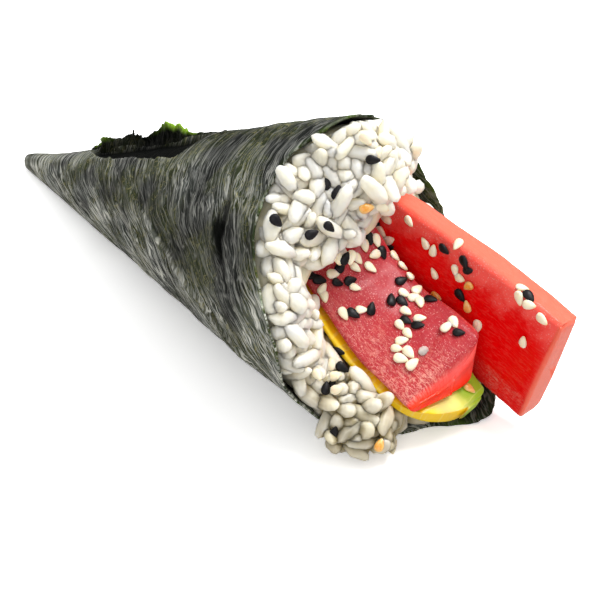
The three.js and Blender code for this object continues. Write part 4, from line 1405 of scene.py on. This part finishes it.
# %% Grains that fill gaps: across and down the picture, length in millimetres, and turn in degrees
RICE_SPOTS = (
    (366, 220, 7.5, -60), (358, 212, 7.5, -45), (372, 231, 6.0, -75), (352, 236, 7.5, -70),
    (345, 250, 7.0, -50), (300, 262, 8.0, -60), (292, 270, 7.5, -75), (262, 232, 7.5, -80),
    (258, 250, 8.0, -85), (262, 270, 8.0, -80), (266, 292, 8.0, -75), (272, 312, 8.0, -72),
    (280, 332, 8.0, -68), (276, 205, 8.0, 70), (282, 182, 8.0, 60), (294, 160, 8.0, 50),
    (314, 140, 8.0, 35), (334, 128, 8.0, 20), (318, 320, 7.5, -78), (326, 340, 6.5, -60),
    (288, 360, 7.5, -35), (306, 392, 8.0, -60), (322, 356, 6.5, -80), (352, 380, 7.0, -20),
    (374, 411, 9.0, -40), (408, 416, 7.5, 38), (398, 430, 7.0, 50), (365, 433, 8.5, -65),
    (344, 438, 7.5, -70), (320, 421, 8.0, -60), (296, 375, 7.5, -50), (413, 424, 7.5, 40),
    (420, 422, 6.0, 10), (405, 428, 7.0, 70), (416, 431, 6.5, -20), (304, 274, 5.5, -50),
    (270, 300, 6.5, -80), (275, 322, 6.5, -75), (386, 408, 5.5, -40), (300, 250, 6.5, 20),
    (322, 262, 6.0, -10),
)
FILL_LIFT = 3.2  # a grain that has to rise further than this off the core is left out
FILL_APART = 1.2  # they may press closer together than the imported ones
HOLLOW_LIFT = 1.8  # the same for grains low in the hollow round the slabs


def fill_by_sight(spots, laid):
    """Adds grains dropped along lines of sight onto the core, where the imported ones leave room."""
    right, above = (np.array(camera.rotation_quaternion @ Vector(v)) for v in ((1, 0, 0), (0, 1, 0)))
    carrier = tree_of(core)
    for x, y, long, turn in spots:
        start, look = sight(x, y)
        spot = carrier.ray_cast(start, look)[0]
        if spot is None:
            continue
        towards = -np.array(look)
        forward = right * math.cos(math.radians(turn)) + above * math.sin(math.radians(turn))
        lines = np.concatenate([line for _, line, *_ in laid])
        middle = np.array(spot) * 1000 - APEX
        for lift in np.arange(0.6, FILL_LIFT, LIFT_STEP):
            line = middle + towards * lift + forward * MIDDLE_LINE * (long - GRAIN_WIDE)
            if apart(line, lines, FILL_APART) and fits(line, FISH):
                laid.append((lift, line, forward, towards, long / GRAIN_LONG))
                break
    return laid


before = len(packed)
packed = fill_by_sight(RICE_SPOTS, packed)
packed = pack_grains(grain_places, grain_normals, FISH, packed, HOLLOW_LIFT)
print(f"rice: {len(packed) - before} more grains in the gaps")

# %% [markdown]
# ## A grain and a seed by rule
# A grain of rice and a sesame seed are the same idea: a ball stretched one way, flattened, narrower at one
# end and a little bent. One Geometry Nodes tree makes that shape from named sizes, puts it on every point
# with the point's own turn and size, realizes the copies and then roughens each by noise, so no two are
# alike. The points carry a random tint, which the finish reads.

# %% The tree
def make_grain_tree():
    grow = Recipe(bpy.data.node_groups.new("grains_on_points", "GeometryNodeTree"))
    face = grow.tree.interface
    face.new_socket("Geometry", in_out="INPUT", socket_type="NodeSocketGeometry")
    for name in ("Length", "Width", "Thickness", "Taper", "Bend", "Lumps", "Lump Scale"):
        face.new_socket(name, in_out="INPUT", socket_type="NodeSocketFloat")
    for name in ("Segments", "Rings"):
        face.new_socket(name, in_out="INPUT", socket_type="NodeSocketInt")
    face.new_socket("Material", in_out="INPUT", socket_type="NodeSocketMaterial")
    face.new_socket("Geometry", in_out="OUTPUT", socket_type="NodeSocketGeometry")
    given = grow.tree.nodes.new("NodeGroupInput").outputs
    out = grow.tree.nodes.new("NodeGroupOutput").inputs
    times = grow.times

    # One ball, 1 across, keeps its own coordinates and is drawn out along Z, tapered and bent.
    ball = {"Segments": given["Segments"], "Rings": given["Rings"], "Radius": 0.5}
    ball = grow.add("GeometryNodeMeshUVSphere", ball).outputs["Mesh"]
    place = grow.add("GeometryNodeInputPosition").outputs[0]
    kept = {"Geometry": ball, "Name": "ball", "Value": place}
    kept = grow.add("GeometryNodeStoreNamedAttribute", kept, data_type="FLOAT_VECTOR", domain="POINT")
    x, y, z = grow.split(place)
    slim = grow.minus(1.0, times(given["Taper"], grow.plus(z, z)))
    bow = times(times(z, z), times(given["Bend"], given["Length"]))
    shape = {
        "X": grow.plus(times(x, slim, given["Width"]), bow),
        "Y": times(y, slim, given["Thickness"]),
        "Z": times(z, given["Length"]),
    }
    shape = grow.add("ShaderNodeCombineXYZ", shape).outputs[0]
    grain = grow.add("GeometryNodeSetPosition", {"Geometry": kept.outputs[0], "Position": shape})

    # The points say how each copy is turned and stretched.
    turn, size = (
        grow.add("GeometryNodeInputNamedAttribute", {"Name": name}, data_type="FLOAT_VECTOR").outputs[0]
        for name in ("turn", "size")
    )
    turned = grow.add("FunctionNodeEulerToRotation", {0: turn}).outputs[0]
    copies = {"Points": given["Geometry"], "Instance": grain.outputs[0], "Rotation": turned, "Scale": size}
    copies = grow.add("GeometryNodeInstanceOnPoints", copies).outputs[0]
    real = grow.add("GeometryNodeRealizeInstances", {"Geometry": copies}).outputs[0]

    # Noise in the frame's own space roughens every copy in another way.
    spread = grow.add("GeometryNodeInputPosition").outputs[0]
    lumps = {"Vector": spread, "Scale": given["Lump Scale"], "Detail": 1.0}
    lumps = grow.add("ShaderNodeTexNoise", lumps).outputs["Fac"]
    push = times(grow.minus(lumps, 0.5), times(given["Lumps"], 2.0))
    offset = grow.vectors("SCALE", grow.add("GeometryNodeInputNormal").outputs[0], push)
    rough = grow.add("GeometryNodeSetPosition", {"Geometry": real, "Offset": offset}).outputs[0]
    smooth = grow.add("GeometryNodeSetShadeSmooth", {0: rough}).outputs[0]
    finish = {"Geometry": smooth, "Material": given["Material"]}
    grow.tree.links.new(grow.add("GeometryNodeSetMaterial", finish).outputs[0], out[0])
    return grow.tree


GRAINS_ON_POINTS = make_grain_tree()
GRAIN_SHAPE = {
    "Length": 0.0084, "Width": 0.0035, "Thickness": 0.0030, "Taper": 0.1, "Bend": 0.05,
    "Segments": 10, "Rings": 6, "Lumps": 0.0008, "Lump Scale": 380.0,
}


def on_points(name, laid, material, shape):
    """A plain mesh of the shape on each of `laid`: (middle, forward, up, size, tint)."""
    middles, forwards, ups, sizes, tints = zip(*laid)
    mesh = bpy.data.meshes.new(name)
    mesh.from_pydata([tuple(p) for p in in_frame(np.array(middles))], [], [])
    turns = [
        tuple(Matrix(np.stack([np.cross(up, forward), up, forward], 1)).to_euler())
        for forward, up in zip(forwards, ups)
    ]
    for key, kind, field, numbers in (
        ("turn", "FLOAT_VECTOR", "vector", turns),
        ("size", "FLOAT_VECTOR", "vector", sizes),
        ("tint", "FLOAT", "value", tints),
    ):
        attribute = mesh.attributes.new(key, kind, "POINT")
        attribute.data.foreach_set(field, np.array(numbers, np.float32).ravel())
    made = bpy.data.objects.new(name, mesh)
    bpy.context.scene.collection.objects.link(made)
    modifier = made.modifiers.new("copies", "NODES")
    modifier.node_group = GRAINS_ON_POINTS
    for item in GRAINS_ON_POINTS.interface.items_tree:
        if item.in_out == "INPUT" and item.name != "Geometry":
            modifier[item.identifier] = material if item.name == "Material" else shape[item.name]
    return report(plain_copy(made))


# %% Where grains press on each other
PRESSED = (1.45, 2.3)  # millimetres from another grain's middle line: pressed in, and clear of it


def mark_pressed(made, lines):
    """Stores how deep between other grains each vertex lies: 0 in the open and 1 pressed in."""
    near = KDTree(lines.shape[0] * lines.shape[1])
    for i, place in enumerate(in_frame(lines).reshape(-1, 3)):
        near.insert(place, i)
    near.balance()
    vertices = made.data.vertices
    each = len(vertices) // len(lines)
    pressed = np.zeros(len(vertices))
    for vertex in vertices:
        own = vertex.index // each
        others = [d for _, i, d in near.find_n(vertex.co, 12) if i // lines.shape[1] != own]
        pressed[vertex.index] = 1 - step(1000 * min(others, default=1), *PRESSED)
    attribute = made.data.attributes.new("crevice", "FLOAT", "POINT")
    attribute.data.foreach_set("value", pressed.astype(np.float32))


# %% The rice's finish
# Painted shade between the grains: darker low down, paler on top.
CREVICE_SHADE_LOW, CREVICE_SHADE_HIGH = (0.18, 0.13, 0.02), (0.84, 0.70, 0.44)  # between grains, low down and on top
# Painted shade darkens the rice up to this height.
PAINTED_SHADE_UP_TO = 0.032  # metres above the table


def make_rice(name, tone, shade, low_shade_tone):
    """Rice is bright on top of the heap, and grey and creamy low down, where shade is painted on."""
    rice = Finish(
        name,
        Subsurface_Weight=0.85,
        Subsurface_Radius=(1.0, 0.95, 0.82),
        Subsurface_Scale=0.0035,
        Coat_Roughness=0.2,
        Specular_IOR_Level=0.4,
    )
    soft, tint = rice.in_object(), rice.measure("tint")
    cloud = rice.use(BLOTCHES, Vector=soft, Scale=330.0, Detail=3.0, From=0.3, To=0.7)
    height = rice.plus(rice.split(soft)[2], rice.swing(cloud, 0.004))
    # Painted shade: the rice turns grey and creamy towards the table.
    painted_low_shade = rice.times(rice.ramp(height, 0.0, PAINTED_SHADE_UP_TO, 1.0, 0.0), rice.scaled(tint, 0.45, 1.0))
    # Painted shade where grains press into each other.
    crevice_shade = rice.mix(rice.ramp(height, 0.006, 0.03), CREVICE_SHADE_LOW, CREVICE_SHADE_HIGH)
    deep = rice.times(rice.measure("crevice"), rice.ramp(height, 0.008, 0.034, 0.85, 0.4))
    base = rice.mix(rice.times(cloud, 0.5), tone, shade)
    base = rice.mix(painted_low_shade, base, low_shade_tone)
    base = rice.mix(rice.ramp(tint, 0.55, 1.0, 0.0, 0.6), base, shade)
    base = rice.mix(deep, base, crevice_shade)
    return rice.done(
        Base_Color=base,
        Roughness=rice.scaled(cloud, 0.3, 0.45),
        Normal=rice.bump(cloud, 0.4, 0.0004),
        Coat_Weight=rice.scaled(cloud, 0.35, 0.15),
    )


RICE = make_rice("sushi_rice", (0.89, 0.86, 0.76), (0.86, 0.78, 0.56), (0.42, 0.35, 0.22))
# A shaded copy of the rice, for the core that shows between the grains.
SHADED_RICE = make_rice("rice_between_grains", (0.74, 0.70, 0.52), (0.62, 0.55, 0.34), (0.12, 0.09, 0.02))

# %% The grains and their core
# The core takes the shaded copy: painted shade between the grains.
core.data.materials.clear()
core.data.materials.append(SHADED_RICE)
core.data.polygons.foreach_set("material_index", [0] * len(core.data.polygons))
tints = np.random.default_rng(8).random(len(packed))
laid_grains = [
    (line.mean(0), forward, up, (0.85 + 0.3 * tint, 1.15 - 0.3 * tint, size), tint)
    for (_, line, forward, up, size), tint in zip(packed, tints)
]
rice_grains = on_points("rice_grains", laid_grains, RICE, GRAIN_SHAPE)
mark_pressed(rice_grains, np.array([line for _, line, *_ in packed]))

# %% [markdown]
# ## Sesame seeds
# Three kinds are sprinkled over the mouth: hulled cream seeds, black ones and a few toasted to amber. Seeds
# land in drifts that no simple rule repeats, so each is dropped along a line of sight onto whatever lies
# there, and turned to lie flat on it with its pointed end the right way.

# %% Where the seeds lie: across and down the picture, and the way the point looks, in degrees
SEED = {"Length": 0.0029, "Width": 0.00185, "Thickness": 0.0010}
CREAM_SPOTS = (
    (390, 240, 15), (387, 219, 155), (410, 221, -50), (376, 241, -70), (364, 246, -75), (374, 255, 200),
    (394, 257, -45), (357, 259, -50), (350, 258, -100), (355, 268, -42), (370, 268, -40), (402, 267, -40),
    (333, 274, 10), (355, 288, -20), (338, 258, -70), (322, 289, 60), (324, 297, -80), (404, 294, -30),
    (417, 290, 40), (414, 298, 10), (420, 303, -75), (426, 243, 120), (434, 250, 80), (435, 273, 110),
    (458, 245, -120), (456, 270, -85), (461, 278, -20), (478, 326, -100), (406, 312, -35), (420, 319, 0),
    (447, 327, 45), (454, 323, -60), (408, 334, -50), (400, 326, -50), (402, 341, 10), (397, 349, -10),
    (409, 353, -50), (401, 359, -15), (412, 364, 40), (361, 310, 0), (343, 314, -60), (410, 277, 0),
    (382, 207, -25), (382, 232, -60), (366, 139, -50), (378, 152, 60), (331, 364, 80), (318, 375, -60),
    (336, 376, 15), (338, 389, 20), (522, 289, -20), (520, 298, -80), (530, 305, -15), (543, 319, -40),
    (524, 341, 75),
)
BLACK_SPOTS = (
    (377, 225, 30), (369, 239, -70), (390, 247, 0), (382, 253, -70), (345, 258, 60), (340, 267, 60),
    (310, 276, -20), (319, 280, -10), (337, 283, -20), (350, 281, 15), (373, 159, 0), (327, 182, 80),
    (337, 193, 75), (276, 221, -45), (311, 234, 25), (329, 227, -45), (445, 249, -40), (465, 262, -60),
    (469, 270, 0), (461, 295, -60), (431, 300, -10), (402, 302, -40), (406, 321, -30), (418, 326, 0),
    (459, 333, -5), (353, 314, -35), (371, 309, 80), (401, 281, 20), (391, 300, 85), (529, 297, -50),
    (339, 351, -20), (342, 368, -30), (332, 384, 60), (325, 388, 80), (334, 431, 70),
)
TOASTED_SPOTS = (
    (469, 286, 210), (468, 306, 100), (437, 296, -35), (366, 208, 10), (309, 412, 90), (380, 445, 70),
    (469, 389, -35), (429, 161, 90),
)

# %% Dropping the seeds
SURFACES = [*FISH, tree_of(rice_grains), tree_of(core)]
RAISED, RAISED_ON_RICE = 0.32, 0.55  # how far a seed's middle is raised, as a share of its thickness


def first_hit(start, direction):
    """Where a line meets the food, the direction in which a seed there faces, and how far it is raised."""
    hits = [(*solid.ray_cast(start, direction), i >= len(FISH)) for i, solid in enumerate(SURFACES)]
    hits = [hit for hit in hits if hit[0] is not None]
    if not hits:
        return None, None, 0
    spot, normal, _, _, on_rice = min(hits, key=lambda hit: hit[3])
    if normal.dot(direction) > 0:
        normal = -normal
    if on_rice:  # a seed lies across several grains
        return spot, (normal * 0.5 - direction).normalized(), RAISED_ON_RICE
    return spot, normal, RAISED


def lying(spot, normal, along, lift, dice):
    """A seed's middle, forward and up direction and size, lying on a surface."""
    middle = np.array(spot + normal * lift) * 1000 - APEX
    up = np.array((normal + Vector(dice.normal(0, 0.10, 3))).normalized())
    forward = np.array(along) - up * (np.array(along) @ up)
    forward /= np.linalg.norm(forward)
    size = dice.uniform(0.88, 1.1)
    return middle, forward, up, (size, 1, size), dice.random()


def drop_seeds(spots, seed):
    dice = np.random.default_rng(seed)
    right, above = (camera.rotation_quaternion @ Vector(v) for v in ((1, 0, 0), (0, 1, 0)))
    laid = []
    for x, y, turn in spots:
        start, look = sight(x, y)
        spot, normal, raised = first_hit(start, look)
        if spot is None:
            continue
        seen = right * math.cos(math.radians(turn)) + above * math.sin(math.radians(turn))
        along = seen - look * (seen.dot(normal) / min(look.dot(normal), -0.35))
        laid.append(lying(spot, normal, along.normalized(), raised * SEED["Thickness"], dice))
    return laid


# %% The seeds' finishes
def make_seed(name, body, point, rim, rough, **uniform):
    """Darker or paler towards the pointed end, which is at 0.5 on the seed's own Z."""
    seed = Finish(name, **uniform)
    ball = seed.add("ShaderNodeAttribute", attribute_name="ball").outputs["Vector"]
    cloud = seed.use(BLOTCHES, Vector=ball, Scale=2.2, Detail=3.0, From=0.35, To=0.7)
    base = seed.mix(seed.times(cloud, 0.6), body, rim)
    base = seed.mix(seed.ramp(seed.split(ball)[2], 0.28, 0.5), base, point)
    base = seed.mix(seed.ramp(seed.measure("tint"), 0.5, 1.0, 0.0, 0.35), base, rim)
    rough = seed.scaled(cloud, rough, rough + 0.15)
    return seed.done(Base_Color=base, Roughness=rough, Normal=seed.bump(cloud, 0.2, 0.0002))


glow = {"Subsurface_Weight": 0.4, "Subsurface_Radius": (1.0, 0.7, 0.4), "Subsurface_Scale": 0.0008}
CREAM = make_seed(
    "sesame_cream_skin", body=(0.93, 0.82, 0.60), point=(0.86, 0.66, 0.38), rim=(0.95, 0.88, 0.70),
    rough=0.34, **glow,
)
BLACK = make_seed(
    "sesame_black_skin", body=(0.003, 0.003, 0.004), point=(0.012, 0.009, 0.009), rim=(0.009, 0.007, 0.008),
    rough=0.4, Specular_IOR_Level=0.25,
)
TOASTED = make_seed(
    "sesame_toasted_skin", body=(0.78, 0.32, 0.03), point=(0.85, 0.62, 0.32), rim=(0.92, 0.66, 0.26),
    rough=0.2, Coat_Weight=0.5, **glow,
)

# %% The seeds, and one flake of rice on the front slab
SEED_SHAPE = {
    **SEED, "Taper": 0.42, "Bend": 0.0, "Segments": 10, "Rings": 7, "Lumps": 0.00006, "Lump Scale": 700.0,
}
FLAKE_SHAPE = {
    "Length": 0.0025, "Width": 0.0021, "Thickness": 0.0005, "Taper": 0.0, "Bend": 0.05,
    "Segments": 8, "Rings": 5, "Lumps": 0.0002, "Lump Scale": 300.0,
}
FLAKE_SPOTS = ((423, 351, 30),)
sesame = [
    on_points(name, drop_seeds(spots, seed), material, shape)
    for name, spots, seed, material, shape in (
        ("sesame_cream", CREAM_SPOTS, 61, CREAM, SEED_SHAPE),
        ("sesame_black", BLACK_SPOTS, 62, BLACK, SEED_SHAPE),
        ("sesame_toasted", TOASTED_SPOTS, 63, TOASTED, SEED_SHAPE),
        ("rice_crumb", FLAKE_SPOTS, 64, RICE, FLAKE_SHAPE),
    )
]

# %% [markdown]
# ## The table, and handing over
# The table is a wide sheet of white. Every piece rides on the one body and stands for one or more nodes of
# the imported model, and the two boxes are written out so that they can be compared.

# %% The table
BOUNCE = (0.60, 0.58, 0.55)  # the table as the food sees it
PAPER, PAPER_DIM = (1.5, 1.5, 1.5), (1.45, 1.45, 1.45)  # over-exposed, as white is in a bright picture
TABLE_GLOW = 0.21
TABLE_HALF = 3  # metres


def make_table():
    white = Finish("white_table", Roughness=0.6, Specular_IOR_Level=0.2, Emission_Color=(1, 1, 1, 1))
    soft = white.use(BLOTCHES, Vector=white.in_object(), Scale=4.0, Detail=2.0, From=0.2, To=0.8)
    seen = white.add("ShaderNodeLightPath").outputs["Is Camera Ray"]
    white.done(
        Base_Color=white.mix(seen, BOUNCE, white.mix(soft, PAPER, PAPER_DIM)),
        Emission_Strength=white.times(seen, TABLE_GLOW),
    )
    corners = [(-TABLE_HALF, -TABLE_HALF, 0), (TABLE_HALF, -TABLE_HALF, 0)]
    corners += [(TABLE_HALF, TABLE_HALF, 0), (-TABLE_HALF, TABLE_HALF, 0)]
    return piece_from("table", corners, [(0, 1, 2, 3)], white.material)


make_table()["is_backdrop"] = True

# %% Every piece on its body
STANDS_FOR = (
    (nori_sheet, ("nori_wrap",), "nori"),
    (nori_flap, ("nori_wrap",), "nori"),
    (core, ("rice",), "rice"),
    (rice_grains, ("rice",), "rice"),
    (tuna_front, ("tuna_front",), "tuna"),
    (tuna_back, ("tuna_back",), "tuna"),
    (avocado, ("avocado_slice",), "avocado"),
)
for made, nodes, slot in STANDS_FOR:
    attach(made, "root")
    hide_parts(*nodes)
for seeds in sesame:
    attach(seeds, "root")
    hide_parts("rice", "tuna_front", "tuna_back")

# %% The two boxes, and the end
new_low, new_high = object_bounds()
boxes = {"cad": [list(cad_low), list(cad_high)], "visual": [list(new_low), list(new_high)]}
for key, box in boxes.items():
    print(key, "box in millimetres:", [[round(1000 * v, 1) for v in corner] for corner in box])
